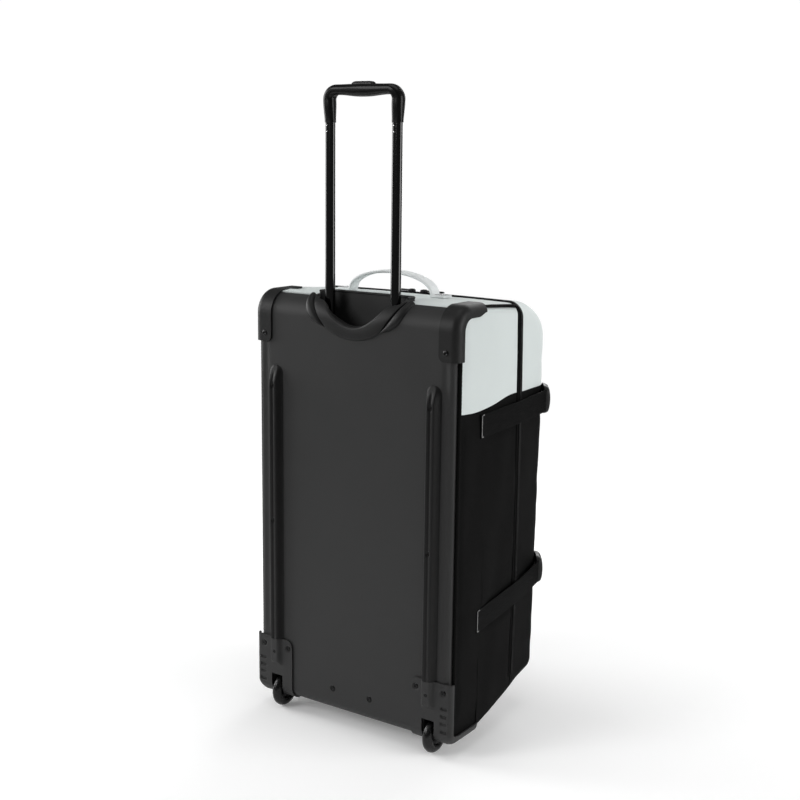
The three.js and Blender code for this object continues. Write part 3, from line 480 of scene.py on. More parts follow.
angle = np.linspace(0, 2 * np.pi, 65)[None]
reach = np.linspace(0.01, FLOOR_REACH, 12)[:, None]
stage_piece("floor", point(reach * np.sin(angle), reach * np.cos(angle), 0.0), floor_sheet())
white = Finish("backdrop_white", Base_Color=grey(0.0), Emission_Color=grey(1.0), Emission_Strength=1.0)
lift = np.radians(np.linspace(-90, 90, 33))[:, None]
dome = DOME_REACH * point(np.cos(lift) * np.sin(angle), np.cos(lift) * np.cos(angle), np.sin(lift))
backdrop = stage_piece("backdrop", dome, white)
for ray in ("diffuse", "glossy", "transmission", "shadow"):
    setattr(backdrop, f"visible_{ray}", False)
print("stage made")

# %% Walls
def face_normals(points, faces):
    """Area-weighted normals: half the cross product of a face's diagonals."""
    a, b, c, d = (points[faces[:, k]] for k in range(4))
    return 0.5 * np.cross(c - a, d - b)


def point_normals(points, faces):
    """Unit normals at the points: the sum of the normals of the faces that meet there."""
    total = np.zeros_like(points)
    for k in range(4):
        np.add.at(total, faces[:, k], face_normals(points, faces))
    return total / np.maximum(np.linalg.norm(total, axis=1, keepdims=True), 1e-9)


def welded(points, faces):
    """Points that share a place become one."""
    _, first, again = np.unique(np.round(points, 3), axis=0, return_index=True, return_inverse=True)
    return points[first], again.reshape(-1)[faces]


def facing(points, faces, towards):
    """Faces turned to look towards a place, or else away from the middle of the bag."""
    centres = points[faces].mean(axis=1)
    looks = centres - MIDDLE if towards is None else towards - centres
    wrong = np.sum(face_normals(points, faces) * looks) < 0
    return (faces[:, ::-1], True) if wrong else (faces, False)


def rim_faces(faces, count):
    """Faces that join the open edges of a sheet to those of its inner copy, count points further on."""
    edges = np.concatenate([faces[:, [k, (k + 1) % 4]] for k in range(4)])
    code = edges[:, 0] * (2 * count) + edges[:, 1]
    back = edges[:, 1] * (2 * count) + edges[:, 0]
    a, b = edges[~np.isin(code, back)].T
    return np.stack([b, a, a + count, b + count], axis=1)


print("wall helpers ready")

# %% Pieces
SHARP = np.radians(42.0)


def put(mesh, name, finish, node, body):
    """Makes an object of a mesh, gives it its finish, and lets it ride on its body in place of its node."""
    mesh.polygons.foreach_set("use_smooth", np.ones(len(mesh.polygons), dtype=bool))
    mesh.set_sharp_from_angle(angle=SHARP)
    mesh.materials.append(finish.material)
    piece = linked(name, mesh)
    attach(piece, body)
    if node:
        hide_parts(node)
    return piece


def new_mesh(name, points, faces, corner_layout):
    """A mesh from points in millimetres, four-cornered faces and a layout for each corner."""
    mesh = bpy.data.meshes.new(name)
    mesh.from_pydata(metres(points).tolist(), [], faces.tolist())
    layer = mesh.uv_layers.new(name="layout")
    layer.data.foreach_set("uv", corner_layout.reshape(-1))
    return mesh


def add_sheet(name, grids, skin, finish, node=None, keep=None, towards=None, soften=0.0):
    """A sheet with a wall of the given thickness behind its outer face. keep says which faces stay, and
    soften rounds its edges."""
    points, faces, flat = gathered(grids)
    joined, faces_joined = welded(points, faces)
    turned, flipped = facing(joined, faces_joined, towards)
    corners = flat[faces[:, ::-1] if flipped else faces]
    stay = (np.diff(np.sort(turned, axis=1), axis=1) > 0).all(axis=1)
    if keep is not None:
        stay &= keep(*joined[turned].mean(axis=1).T)
    turned, corners = turned[stay], corners[stay]
    inner = joined - skin * point_normals(joined, turned)
    rim = rim_faces(turned, len(joined))
    all_faces = np.concatenate([turned, turned[:, ::-1] + len(joined), rim])
    layout = np.concatenate([corners, corners[:, ::-1], np.zeros((len(rim), 4, 2))])
    mesh = new_mesh(name, np.concatenate([joined, inner]), all_faces, layout)
    tidy = bmesh.new()
    tidy.from_mesh(mesh)
    bmesh.ops.delete(tidy, geom=[v for v in tidy.verts if not v.link_faces], context="VERTS")
    tidy.to_mesh(mesh)
    tidy.free()
    piece = put(mesh, name, finish, node, "bag")
    if soften:
        edge = piece.modifiers.new("soft_edge", "BEVEL")
        edge.width = soften * 0.001
        edge.segments = 2
        edge.limit_method = "ANGLE"
        edge.angle_limit = np.radians(60.0)
        edge.harden_normals = True


def add_solid(name, grids, finish, node=None, body="bag"):
    """A closed piece from grids whose edges meet, welded along them and turned outwards."""
    points, faces, flat = gathered(grids)
    mesh = new_mesh(name, points, faces, flat[faces])
    weld = bmesh.new()
    weld.from_mesh(mesh)
    bmesh.ops.remove_doubles(weld, verts=weld.verts, dist=1e-6)
    bmesh.ops.recalc_face_normals(weld, faces=weld.faces)
    weld.to_mesh(mesh)
    weld.free()
    put(mesh, name, finish, node, body)


SIDES = [("left", -1.0), ("right", 1.0)]


def on_side(sign, grid):
    return grid * np.array([sign, 1.0, 1.0])


def pair(make, name, grids, *how, node=None, **more):
    """The same piece on both sides, mirrored, each in place of its own node."""
    for side, sign in SIDES:
        own = node and f"{node}_{side}"
        make(f"{name}_{side}", [on_side(sign, grid) for grid in grids], *how, own, **more)


print("piece helpers ready")

# %% [markdown]
# ## Curves to build with
# Most pieces are a section carried along a path, or a profile turned round an axis. These few functions
# make the grids for both, and a smooth ripple that stands for the small slackness of sewn cloth.

# %% Curves
WAVES = 9


def ramp(value, low, high):
    """0 below low, 1 above high, smooth between."""
    f = np.clip((value - low) / (high - low), 0.0, 1.0)
    return f * f * (3 - 2 * f)


def swept(path, across, out, section):
    """A section carried along a path: path plus section times the two directions across it."""
    section = section if section.ndim == 3 else section[None]
    return path[:, None] + section[..., :1] * across[:, None] + section[..., 1:] * out[:, None]


def capped(grid):
    """A tube with its two ends closed at their middle points."""
    ends = [np.broadcast_to(grid[k].mean(axis=0), grid[k].shape)[None] for k in (0, -1)]
    return np.concatenate([ends[0], grid, ends[1]])


def rounded(wide, high, radius, turns):
    """A closed rectangle with round corners, centred on zero."""
    angles = np.radians(np.linspace(0, 90, turns)[None] + np.arange(4)[:, None] * 90)
    signs = np.array([[1, 1], [-1, 1], [-1, -1], [1, -1]])[:, None]
    middle = signs * (np.array([wide, high]) / 2 - radius)
    loop = (middle + radius * np.stack([np.cos(angles), np.sin(angles)], axis=-1)).reshape(-1, 2)
    return np.concatenate([loop, loop[:1]])


def turned(profile, centre, axis, count):
    """A profile of radius and place along an axis, turned round it."""
    axis = np.asarray(axis, float)
    side = unit(np.cross(axis, [0.3, 0.5, 0.8]))
    angle = np.linspace(0, 2 * np.pi, count + 1)[:, None]
    spoke = side * np.cos(angle) + np.cross(axis, side) * np.sin(angle)
    return np.asarray(centre, float) + profile[:, None, :1] * spoke[None] + profile[:, None, 1:] * axis


def ripple(points, size, seed):
    """Slack cloth: a mean of sine waves in fixed directions, with lengths near the given size."""
    dice = np.random.default_rng(seed)
    ways = unit(dice.normal(size=(WAVES, 3))) * (2 * np.pi / (size * dice.uniform(0.6, 1.6, (WAVES, 1))))
    return np.sin(points @ ways.T + dice.uniform(0, 2 * np.pi, WAVES)).mean(axis=-1) * 2.0


print("curve helpers ready")

# %% [markdown]
# ## The soft body
# The body is a lofted shell: a rounded rectangle at each depth, whose width, height, corners, crown and
# sag come from one table by a smooth curve. All the cloth pieces, the zip and the straps find their
# places on it, so they stay together wherever the shell swells.

# %% The soft body
BODY = np.array([
    [14, 206, 763, 29, 12, 12, 0, 0, 0],
    [45, 206.5, 766.5, 26, 12, 12, 1, 2, 0],
    [86, 207, 766, 28, 13, 13, 1.5, 4, 2],
    [125, 208.5, 764, 38, 15, 15, 2, 4, 54],
    [165, 209, 761.5, 50, 18, 17, 2, 4, 70],
    [200, 209, 758.5, 59, 22, 18, 2, 4, 58],
    [240, 208, 756, 67, 38, 20, 2, 3, 34],
    [280, 207, 752, 72, 56, 22, 1, 2, 8],
    [330, 205, 748, 75, 70, 24, 0, 0, 0],
], float)
STRAIGHT = 0.8
SMALLEST_CORNER = 4.0


def along_table(table, depth):
    """Smooth values between a table's rows: a cubic through each row with the slope of its neighbours."""
    depth = np.asarray(depth, float)
    rows = table[:, 0]
    low = np.maximum(np.arange(len(rows)) - 1, 0)
    high = np.minimum(np.arange(len(rows)) + 1, len(rows) - 1)
    slope = (table[high] - table[low]) / (rows[high] - rows[low])[:, None]
    k = np.clip(np.searchsorted(rows, depth) - 1, 0, len(rows) - 2)
    span = (rows[k + 1] - rows[k])[..., None]
    f = np.clip((depth[..., None] - rows[k][..., None]) / span, 0, 1)
    rise = f * f * (3 - 2 * f)
    ease = f * (1 - f) * (slope[k] * (1 - f) - slope[k + 1] * f) * span
    return table[k] * (1 - rise) + table[k + 1] * rise + ease


def body_at(depth, inset=0.0, low_inset=None):
    """Half width, top, bottom, two corner radii, crown, bulge and sag at a depth, shrunk by an inset."""
    low = inset if low_inset is None else low_inset
    _, half, top, bottom, corner, foot, crown, bulge, sag = np.moveaxis(along_table(BODY, depth), -1, 0)
    corner = np.maximum(corner - inset, SMALLEST_CORNER)
    foot = np.maximum(foot - low, SMALLEST_CORNER)
    return half - inset, top - inset, bottom + low, corner, foot, crown, bulge, sag


def edge_run(half, before, after, t):
    """Place along an edge and drop at its ends: straight for the middle of t, then an eighth of a circle."""
    corner = np.where(t < 0, before, after)
    angle = np.clip((np.abs(t) - STRAIGHT) / (1 - STRAIGHT), 0, 1) * (np.pi / 4)
    level = before - half + (2 * half - before - after) * (t / STRAIGHT + 1) / 2
    bent = np.sign(t) * (half - corner + corner * np.sin(angle))
    return np.where(np.abs(t) <= STRAIGHT, level, bent), corner * (1 - np.cos(angle))


print("body at its middle:", [round(float(v), 1) for v in body_at(165.0)[:4]])

# %% Places on the body
def on_side_wall(depth, t, inset=0.0, low_inset=None):
    """The right side: half width less the corner's drop, pushed out by a bulge that fades to the seams."""
    half, top, bottom, corner, foot, _, bulge, _ = body_at(depth, inset, low_inset)
    reach = (top - bottom) / 2
    along, drop = edge_run(reach, corner, foot, t)
    return point(half - drop + bulge * (1 - (along / reach) ** 2), depth, (top + bottom) / 2 - along)


def on_top(depth, t, inset=0.0):
    """The top: its height less the corner's drop, lifted by a crown that fades to the seams."""
    half, top, _, corner, _, crown, _, _ = body_at(depth, inset)
    along, drop = edge_run(half, corner, corner, t)
    return point(along, depth, top - drop + crown * (1 - (along / half) ** 2))


def on_base(depth, t, inset=0.0, low_inset=None):
    """The base: its height plus the corner's rise, let down by a sag and stopped by the floor."""
    half, _, bottom, _, foot, _, _, sag = body_at(depth, inset, low_inset)
    along, rise = edge_run(half, foot, foot, t)
    return point(along, depth, np.maximum(bottom + rise - sag * (1 - (along / half) ** 2), 0.3))


def side_t(depth, z, inset=0.0, low_inset=None):
    """The t of a height on the side wall."""
    _, top, bottom, corner, foot, *_ = body_at(depth, inset, low_inset)
    return STRAIGHT * (2 * (top - corner - z) / (top - corner - bottom - foot) - 1)


COLOUR_LINE = np.array([[14, 594], [60, 592], [110, 597], [160, 606], [200, 607]], float)
LID_COLOUR_LINE = 606.0
BACK_SEAM = 12.5
TOP_START = 28.0
BASE_START = 84.0
ZIP_DEPTH = 196.0
ZIP_GAP = 1.2
CLOTH = 2.2
LINE_GAP = 0.3
print("colour line at the zip:", round(float(along_table(COLOUR_LINE, ZIP_DEPTH)[1]), 1))

# %% [markdown]
# ## Slack in the cloth
# Sewn cloth is held at its seams and free between them. Each panel is moved along its normal by a puff
# that fades to nothing at its edges, by two sizes of ripple, and by a shallow furrow where a strap
# pulls it in. This shapes the cloth directly, without a simulation, and every run gives the same cloth.

# %% Slack
STRAPS = {"upper": (567.0, 580.0), "lower": (228.0, 267.0)}
STRAP_START = 70.0
FURROW = 27.0
LID_FRONT = 315.0


def strap_height(level, depth):
    """Height of a strap's middle: a straight line from its sewn end to the buckle."""
    sewn, buckle = STRAPS[level]
    return sewn + (buckle - sewn) * (depth - STRAP_START) / (LID_FRONT - STRAP_START)


def grid_normals(grid):
    """Unit normals of a grid, turned away from the middle of the bag."""
    normal = unit(np.cross(np.gradient(grid, axis=0), np.gradient(grid, axis=1)))
    return normal if np.sum(normal * (grid - MIDDLE)) > 0 else -normal


def held(rows, columns, reach=0.16):
    """1 in the middle of a grid and 0 at its edges."""
    u = np.linspace(0, 1, rows)[:, None]
    v = np.linspace(0, 1, columns)[None]
    return ramp(np.minimum(u, 1 - u), 0, reach) * ramp(np.minimum(v, 1 - v), 0, reach)


def furrow(grid):
    """Depth of the furrows under the straps: a bell across each strap, from its sewn end onwards."""
    _, depth, z = np.moveaxis(grid, -1, 0)
    total = np.zeros(depth.shape)
    for level in STRAPS:
        away = (z - strap_height(level, depth)) / FURROW
        total += np.exp(-away ** 4) * ramp(depth, STRAP_START, STRAP_START + 50)
    return total


def pulled_in(grid, free, away):
    """How far cloth moves where it is free: a distance away, taken back by the furrows under the straps."""
    pull = furrow(grid)
    return (free * (away * (1 - 0.9 * pull) - pull))[..., None]


def slack(grid, free, puff, fold, seed):
    """A grid of cloth moved along its normals where it is free."""
    away = puff + fold * ripple(grid, 150, seed) + 0.35 * fold * ripple(grid, 55, seed + 50)
    return grid + grid_normals(grid) * pulled_in(grid, free, away)


print("strap heights at the zip:", [round(strap_height(level, ZIP_DEPTH)) for level in STRAPS])

# %% [markdown]
# ## Top, sides and base
# Pale cloth covers the top and the upper sides, black cloth the lower sides and the base, and a wavy
# seam runs between them. The top leaves room for the handle well. The base is soft, so it hangs down
# and rests on the floor in front of the wheels.

# %% Top panel
WELL_HALF = 92.4
WELL_BACK = 53.4
SEAM_END = 0.97


def top_grids():
    """The top in three parts: behind the well, and a strip on each side of it."""
    depth = np.linspace(WELL_BACK, ZIP_DEPTH - ZIP_GAP, 72)[:, None]
    half, _, _, corner, *_ = body_at(WELL_BACK)
    middle = STRAIGHT * WELL_HALF / float(half - corner)
    strip = np.concatenate([np.linspace(middle, STRAIGHT, 30)[:-1], np.linspace(STRAIGHT, SEAM_END, 12)])
    whole = np.concatenate([-strip[::-1], np.linspace(-middle, middle, 60)[1:-1], strip])
    behind = on_top(depth, whole[None])
    behind = slack(behind, held(*behind.shape[:2]) * ramp(behind[..., 1], 60, 90), 1.0, 0.8, 3)
    beside = on_top(np.linspace(TOP_START, WELL_BACK, 14)[:, None], strip[None])
    return [behind, beside, on_side(-1.0, beside)]


add_sheet("top_cloth", top_grids(), CLOTH, PALE_CLOTH, "top_panel")
print("top panel made")

# %% Side panels
def side_grid(first, last, rows, columns):
    """A part of the right side between two heights, given as t for each depth."""
    depth = np.linspace(BACK_SEAM, ZIP_DEPTH - ZIP_GAP, rows)[:, None]
    f = np.linspace(0, 1, columns)[None]
    return on_side_wall(depth, first(depth) + (last(depth) - first(depth)) * f)


def colour_t(depth, away):
    return side_t(depth, along_table(COLOUR_LINE, depth)[..., 1] + away)


def top_end(depth):
    return np.where(depth < TOP_START, -STRAIGHT, -SEAM_END)


def base_end(depth):
    return np.where(depth < BASE_START, STRAIGHT, SEAM_END)


upper_side = side_grid(top_end, lambda depth: colour_t(depth, LINE_GAP), 90, 90)
lower_side = side_grid(lambda depth: colour_t(depth, -LINE_GAP), base_end, 90, 240)
upper_side = slack(upper_side, held(90, 90), 2.0, 1.2, 5)
lower_side = slack(lower_side, held(90, 240, 0.1), 2.0, 1.8, 8)
pair(add_sheet, "side_pale", [upper_side], CLOTH, PALE_CLOTH, node="side_upper")
pair(add_sheet, "side_black", [lower_side], CLOTH, BLACK_CLOTH, node="side_lower")
print("side panels made:", upper_side.shape, lower_side.shape)

# %% Base panel
base_depth = np.linspace(BASE_START, ZIP_DEPTH - ZIP_GAP, 60)[:, None]
base_grid = on_base(base_depth, np.linspace(-SEAM_END, SEAM_END, 150)[None])
base_free = held(60, 150) * ramp(base_grid[..., 2], 2.0, 14.0)
add_sheet("base_cloth", [slack(base_grid, base_free, 0.0, 0.9, 12)], CLOTH, BLACK_CLOTH, "base_panel")
print("base panel made, lowest point", round(float(base_grid[..., 2].min()), 1))

# %% [markdown]
# ## The lid
# The lid is the front of the shell beyond the zip: a rim, a wide round edge and a front face with a low
# crown. It is slacker towards its foot, where the straps pull it in. Its front is closed by filling the
# last ring of the edge smoothly from its four sides.

# %% Lid
LID_EDGE = 42.0
LID_LOW_SHARE = 0.3
LID_CROWN = 10.0
LID_SLACK = 0.9
LID_SEED = 21


def lid_profile():
    """Depth and inset from the rim, round the edge: a straight, then a quarter circle."""
    rim = np.linspace(ZIP_DEPTH + ZIP_GAP, LID_FRONT - LID_EDGE, 22)
    angle = np.radians(np.linspace(0, 90, 20))[1:]
    depth = np.concatenate([rim, LID_FRONT - LID_EDGE + LID_EDGE * np.sin(angle)])
    inset = np.concatenate([0 * rim, LID_EDGE * (1 - np.cos(angle))])
    return depth[:, None], inset[:, None]


def filled(top, bottom, left, right):
    """A grid from its four edges: the sum of the two straight blends less the blend of the corners."""
    u = np.linspace(0, 1, len(left))[:, None, None]
    v = np.linspace(0, 1, len(top))[None, :, None]
    blend = (1 - u) * top[None] + u * bottom[None] + (1 - v) * left[:, None] + v * right[:, None]
    corners = (1 - u) * ((1 - v) * top[0] + v * top[-1]) + u * ((1 - v) * bottom[0] + v * bottom[-1])
    return blend - corners


LID_DEPTH, LID_INSET = lid_profile()
LID_LOW = LID_INSET * LID_LOW_SHARE
LID_T = np.linspace(-1, 1, 110)[None]


def lid_colour_t(away):
    """The colour line on the lid's side as a t, moved up by a distance."""
    return side_t(LID_DEPTH, LID_COLOUR_LINE + away, LID_INSET, LID_LOW)


def lid_wall(first, last, rows):
    """The right side of the lid between two t, and its mirror image."""
    wall = on_side_wall(LID_DEPTH, first + (last - first) * np.linspace(0, 1, rows)[None], LID_INSET, LID_LOW)
    return wall, on_side(-1.0, wall)


def lid_crown(x, z):
    """How far the front is crowned: 1 at its middle, 0 towards its edges."""
    return np.clip(1 - (x / 190) ** 2, 0, 1) * np.clip(1 - ((z - 400) / 330) ** 2, 0, 1)


def lid_shrink(z):
    """The share of its depth that the lid keeps, less towards its foot."""
    return LID_SLACK + (1 - LID_SLACK) * ramp(z, 110, 680)


print("lid profile:", LID_DEPTH.shape)

# %% Lid cloth
def lid_place(grid):
    """Crowns the front, draws the lid in towards its foot, and lets the cloth between the seams go slack."""
    x, depth, z = np.moveaxis(grid, -1, 0)
    crown = LID_CROWN * lid_crown(x, z) * ramp(depth, LID_FRONT - LID_EDGE, LID_FRONT)
    depth = ZIP_DEPTH + (depth + crown - ZIP_DEPTH) * lid_shrink(z)
    moved = point(x, depth, z)
    free = ramp(depth, ZIP_DEPTH + 4, ZIP_DEPTH + 45) * ramp(np.abs(z - LID_COLOUR_LINE), 0, 25)
    out = unit(point(x, depth - 120.0, 0.08 * z))
    wave = 1.3 * ripple(moved, 140, LID_SEED) + 0.5 * ripple(moved, 52, LID_SEED + 9)
    return moved + out * pulled_in(moved, free, wave)


def lid_grids(ring, over, under, mirror, wall):
    """A part of the lid: its rim and edge as one grid, and the front inside them."""
    return [lid_place(ring), lid_place(filled(over, under, mirror[-1], wall[-1]))]


def lid_line(start, end):
    """A straight line across the front."""
    return start + (end - start) * np.linspace(0, 1, LID_T.size)[:, None]


def lid_upper_grids():
    wall, mirror = lid_wall(-1.0, lid_colour_t(LINE_GAP), 46)
    top = on_top(LID_DEPTH, LID_T, LID_INSET)
    ring = np.concatenate([mirror[:, ::-1], top[:, 1:-1], wall], axis=1)
    over = np.concatenate([mirror[-1, :1], top[-1, 1:-1], wall[-1, :1]])
    return lid_grids(ring, over, lid_line(mirror[-1, -1], wall[-1, -1]), mirror, wall)


def lid_lower_grids():
    wall, mirror = lid_wall(lid_colour_t(-LINE_GAP), 1.0, 150)
    base = on_base(LID_DEPTH, LID_T, LID_INSET, LID_LOW)
    ring = np.concatenate([mirror, base[:, 1:-1], wall[:, ::-1]], axis=1)
    under = np.concatenate([mirror[-1, -1:], base[-1, 1:-1], wall[-1, -1:]])
    return lid_grids(ring, lid_line(mirror[-1, 0], wall[-1, 0]), under, mirror, wall)


add_sheet("lid_pale", lid_upper_grids(), CLOTH, PALE_CLOTH, "lid_upper")
add_sheet("lid_black", lid_lower_grids(), CLOTH, BLACK_CLOTH, "lid_lower")
print("lid made")

# %% [markdown]
# ## The zip
# A black tape runs up one side, over the top and down the other, with a moulded coil along its middle.
# The tape is a low section carried round the body, and the coil is two rows of small teeth set along
# the same path, offset by half a step.

# %% Zip path
ZIP_LOW = 92.0


def zip_surface(away, lift):
    """Places at a depth away from the zip's middle, lifted off the body: up the left side, over the top and
    down the right side."""
    side = np.linspace(float(side_t(ZIP_DEPTH, ZIP_LOW)), -1.0, 260)
    over = np.linspace(-1, 1, 200)[1:-1]
    depth = ZIP_DEPTH + np.asarray(away, float)[:, None]
    lifted = -np.asarray(lift, float)[:, None]
    wall = on_side_wall(depth, side[None], lifted)
    return np.concatenate([on_side(-1.0, wall), on_top(depth, over[None], lifted), wall[:, ::-1]], axis=1)


TAPE_AWAY = [-9.0, -8.6, -7.5, -4.6, -3.4, -2.6, -1.2, 0.0, 1.2, 2.6, 3.4, 4.6, 7.5, 8.6, 9.0]
TAPE_LIFT = [0.5, 1.4, 1.9, 1.9, 1.7, 2.3, 2.8, 2.5, 2.8, 2.3, 1.7, 1.9, 1.9, 1.4, 0.5]
tape_top = zip_surface(TAPE_AWAY, TAPE_LIFT)
tape_back = zip_surface(TAPE_AWAY, np.full(len(TAPE_AWAY), 0.3))
tape = np.concatenate([tape_top, tape_back[::-1], tape_top[:1]])
tape_ends = np.stack([tape.mean(axis=0)] * len(tape))
closed = np.concatenate([tape_ends[:, :1], tape, tape_ends[:, -1:]], axis=1)
add_solid("zip_tape", [np.swapaxes(closed, 0, 1)], BLACK_WEBBING, "zip_band")
print("zip length in mm:", round(float(run(zip_surface([0.0], [2.5]), 1)[0, -1])))

# %% Zip teeth
TOOTH_STEP = 1.9


def along_path(path, places):
    """Points at given lengths along a path."""
    length = run(path[None], 1)[0]
    return np.stack([np.interp(places, length, path[:, k]) for k in range(3)], axis=-1)


def bars(centre, along, across, out, size):
    """Many small rounded bars: an ellipse carried along five stations of each, closed at the ends."""
    angle = np.linspace(0, 2 * np.pi, 9)
    station = np.array([-1.0, -0.8, 0.0, 0.8, 1.0])
    girth = np.array([0.0, 0.75, 1.0, 0.75, 0.0])
    length, width, height = np.array(size) / 2
    scales = [
        (along, length * station[:, None] * np.ones_like(angle)),
        (across, width * girth[:, None] * np.cos(angle)),
        (out, height * girth[:, None] * np.sin(angle)),
    ]
    return centre[:, None, None] + sum(way[:, None, None] * scale[None, :, :, None] for way, scale in scales)


def teeth():
    """Two rows of bars across the zip, half a step apart."""
    rows = []
    for away, shift in ((-1.5, 0.0), (1.5, 0.5)):
        path = zip_surface([away], [2.9])[0]
        total = run(path[None], 1)[0, -1]
        places = np.arange(2.0 + shift * TOOTH_STEP, total - 2, TOOTH_STEP)
        centre = along_path(path, places)
        way = unit(along_path(path, places + 0.5) - along_path(path, places - 0.5))
        across = np.broadcast_to([0.0, 1.0, 0.0], way.shape)
        rows.append(bars(centre, across, way, np.cross(way, across), (3.4, 1.2, 1.3)))
    return rows


add_solid("zip_teeth", teeth(), GLOSS_PLASTIC)
print("teeth made")

# %% [markdown]
# ## The back panel
# The back is pressed from one stiff sheet: flat down the middle, rolled in at its sides, rolled over at
# the top and turned under at the foot. A shallow gutter runs between each rail and the side roll. The
# sheet is cut away inside the handle well and behind the wheels.

# %% Back panel
PANEL_HALF, PANEL_ROLL, PANEL_RETURN, PANEL_WALL = 203.0, 9.0, 14.0, 3.0
PANEL_TOP, TOP_RADIUS = 767.0, 38.0
PANEL_UNDER, LOW_RADIUS, PANEL_LIP = 26.0, 22.0, 82.0
TOP_BEND = PANEL_TOP - TOP_RADIUS
LOW_BEND = PANEL_UNDER + LOW_RADIUS
GUTTER_X, GUTTER_HALF, GUTTER_DEEP = 187.0, 5.5, 1.6
WHEEL_X, CUT_HALF, CUT_HIGH, CUT_DEEP = 165.0, 14.9, 69.4, 53.4


def arc(depth, z, radius, first, last, count):
    """Places on an arc of the panel's profile with their outward directions: depth, z, out depth, out z."""
    angle = np.radians(np.linspace(first, last, count))
    out = np.stack([np.cos(angle), np.sin(angle)], axis=1)
    return np.concatenate([np.array([depth, z]) + radius * out, out], axis=1)


def straight(start, end, out, count):
    """Places on a straight of the profile, with one outward direction."""
    return np.concatenate([np.linspace(start, end, count), np.tile(out, (count, 1))], axis=1)


def top_turn(last, count):
    return arc(TOP_RADIUS, TOP_BEND, TOP_RADIUS, 180, last, count)


def foot_turn(count):
    return arc(LOW_RADIUS, LOW_BEND, LOW_RADIUS, 180, 270, count)


def panel_grid():
    """The profile carried across the bag, with its sides rolled in by a quarter circle and a short return."""
    lip = straight((PANEL_LIP, PANEL_UNDER), (LOW_RADIUS, PANEL_UNDER), (0.0, -1.0), 16)
    rise = straight((0.0, LOW_BEND), (0.0, TOP_BEND), (-1.0, 0.0), 180)
    profile = np.concatenate([lip[:-1], foot_turn(14)[::-1], rise[1:-1], top_turn(108, 18)])
    turn = np.radians(np.linspace(0, 90, 11))
    rolled = np.append(PANEL_HALF - PANEL_ROLL + PANEL_ROLL * np.sin(turn), PANEL_HALF)
    x = np.concatenate([-rolled[::-1], np.linspace(-rolled[0], rolled[0], 150)[1:-1], rolled])
    sunk = np.append(PANEL_ROLL * (1 - np.cos(turn)), PANEL_RETURN)
    inward = np.concatenate([sunk[::-1], np.zeros(148), sunk])
    depth, z, out_depth, out_z = profile.T[:, :, None]
    gutter = GUTTER_DEEP * np.exp(-(((np.abs(x) - GUTTER_X) / GUTTER_HALF) ** 2))
    gutter = gutter * ramp(z, 140, 170) * (1 - ramp(z, 660, 700))
    return point(x[None], depth - out_depth * (inward + gutter), z - out_z * (inward + gutter))


def panel_keep(x, depth, z):
    """True where the sheet stays: outside the well's bowl and the two wheel tubs."""
    well = (z > 706 + 0.0062 * x * x) & (np.abs(x) < WELL_HALF) & (depth < WELL_BACK)
    tub = (np.abs(np.abs(x) - WHEEL_X) < CUT_HALF) & (z < CUT_HIGH) & (depth < CUT_DEEP)
    return ~(well | tub)


add_sheet("back_sheet", [panel_grid()], PANEL_WALL, PANEL_PLASTIC, "back_panel", keep=panel_keep)
print("back panel grid:", panel_grid().shape)

# %% [markdown]
# ## Piping
# A round cord wrapped in black cloth is sewn into the seam along each back edge and along the top. It is
# a circle carried along the seam, with a fine twist of the wrapping in its width.

# %% Piping
def cord_grid(path, radius):
    """A circle carried along a path, slightly pinched where the wrapping is stitched, closed at the ends."""
    way = unit(np.gradient(path, axis=0))
    across = unit(np.cross(way, [0.9, 0.1, 0.4]))
    angle = np.linspace(0, 2 * np.pi, 15)
    pinch = 1 + 0.04 * np.sin(run(path[None], 1)[0] * (2 * np.pi / 6.0))
    section = radius * pinch[:, None, None] * np.stack([np.cos(angle), np.sin(angle)], axis=-1)[None]
    return capped(swept(path, across, np.cross(way, across), section))


GUARD_LOW, GUARD_REACH, HOUSING_TOP = 681.0, 84.0, 137.0
PIPING_X, PIPING_BACK, PIPING_TOP = 206.2, 3.2, 2.2
back_path = point(PIPING_X, BACK_SEAM, np.linspace(LOW_BEND, GUARD_LOW + 8, 360))
top_path = on_top(np.linspace(GUARD_REACH + 2, ZIP_DEPTH - 10, 100), np.ones(100), -3.2)
for side, sign in SIDES:
    cords = (on_side(sign, back_path), PIPING_BACK), (on_side(sign, top_path), PIPING_TOP)
    back_cord, top_cord = ([cord_grid(seam, radius)] for seam, radius in cords)
    add_solid(f"piping_cord_{side}", back_cord, BLACK_WEBBING, f"piping_back_{side}")
    add_solid(f"piping_rim_{side}", top_cord, BLACK_WEBBING, f"piping_top_{side}")
print("piping made")

# %% [markdown]
# ## Corner guards
# Two moulded guards cap the upper corners of the back. Each follows the panel up and over its top roll,
# rolls round the side and ends in a leg, and its lower inner corner is round. One rivet holds it.

# %% Rolled sheets
def rolled_grid(profile, inner, outer, roll, leg, lift, columns, corner, bend):
    """A sheet that stands off the panel along a profile, rolls round the bag's side by a quarter circle
    and ends in a leg. Its first row is drawn back by a round corner, which fades out towards the bend."""
    flat = np.linspace(0, 1, columns)[None]
    turn = np.radians(np.linspace(0, 90, 14))[None, 1:]
    down = np.linspace(0, 1, 7)[None, 1:]
    roll, leg = roll[:, None], leg[:, None]
    level = inner + (outer - roll - inner) * flat
    rolled = outer - roll + roll * np.sin(turn)
    x = np.concatenate([level, rolled, outer + 0 * roll * down], axis=1)
    inward = np.concatenate([0 * level, roll - roll * np.cos(turn), roll + (leg - roll) * down], axis=1)
    depth, z, out_depth, out_z = (value[:, None] for value in profile.T)
    fade = np.clip((z - bend) / (z[0] - bend), 0, 1)
    z = z + np.sign(bend - z[0]) * round_corner(x, inner, corner) * fade
    return point(x, depth - out_depth * (inward - lift), z - out_z * (inward - lift))


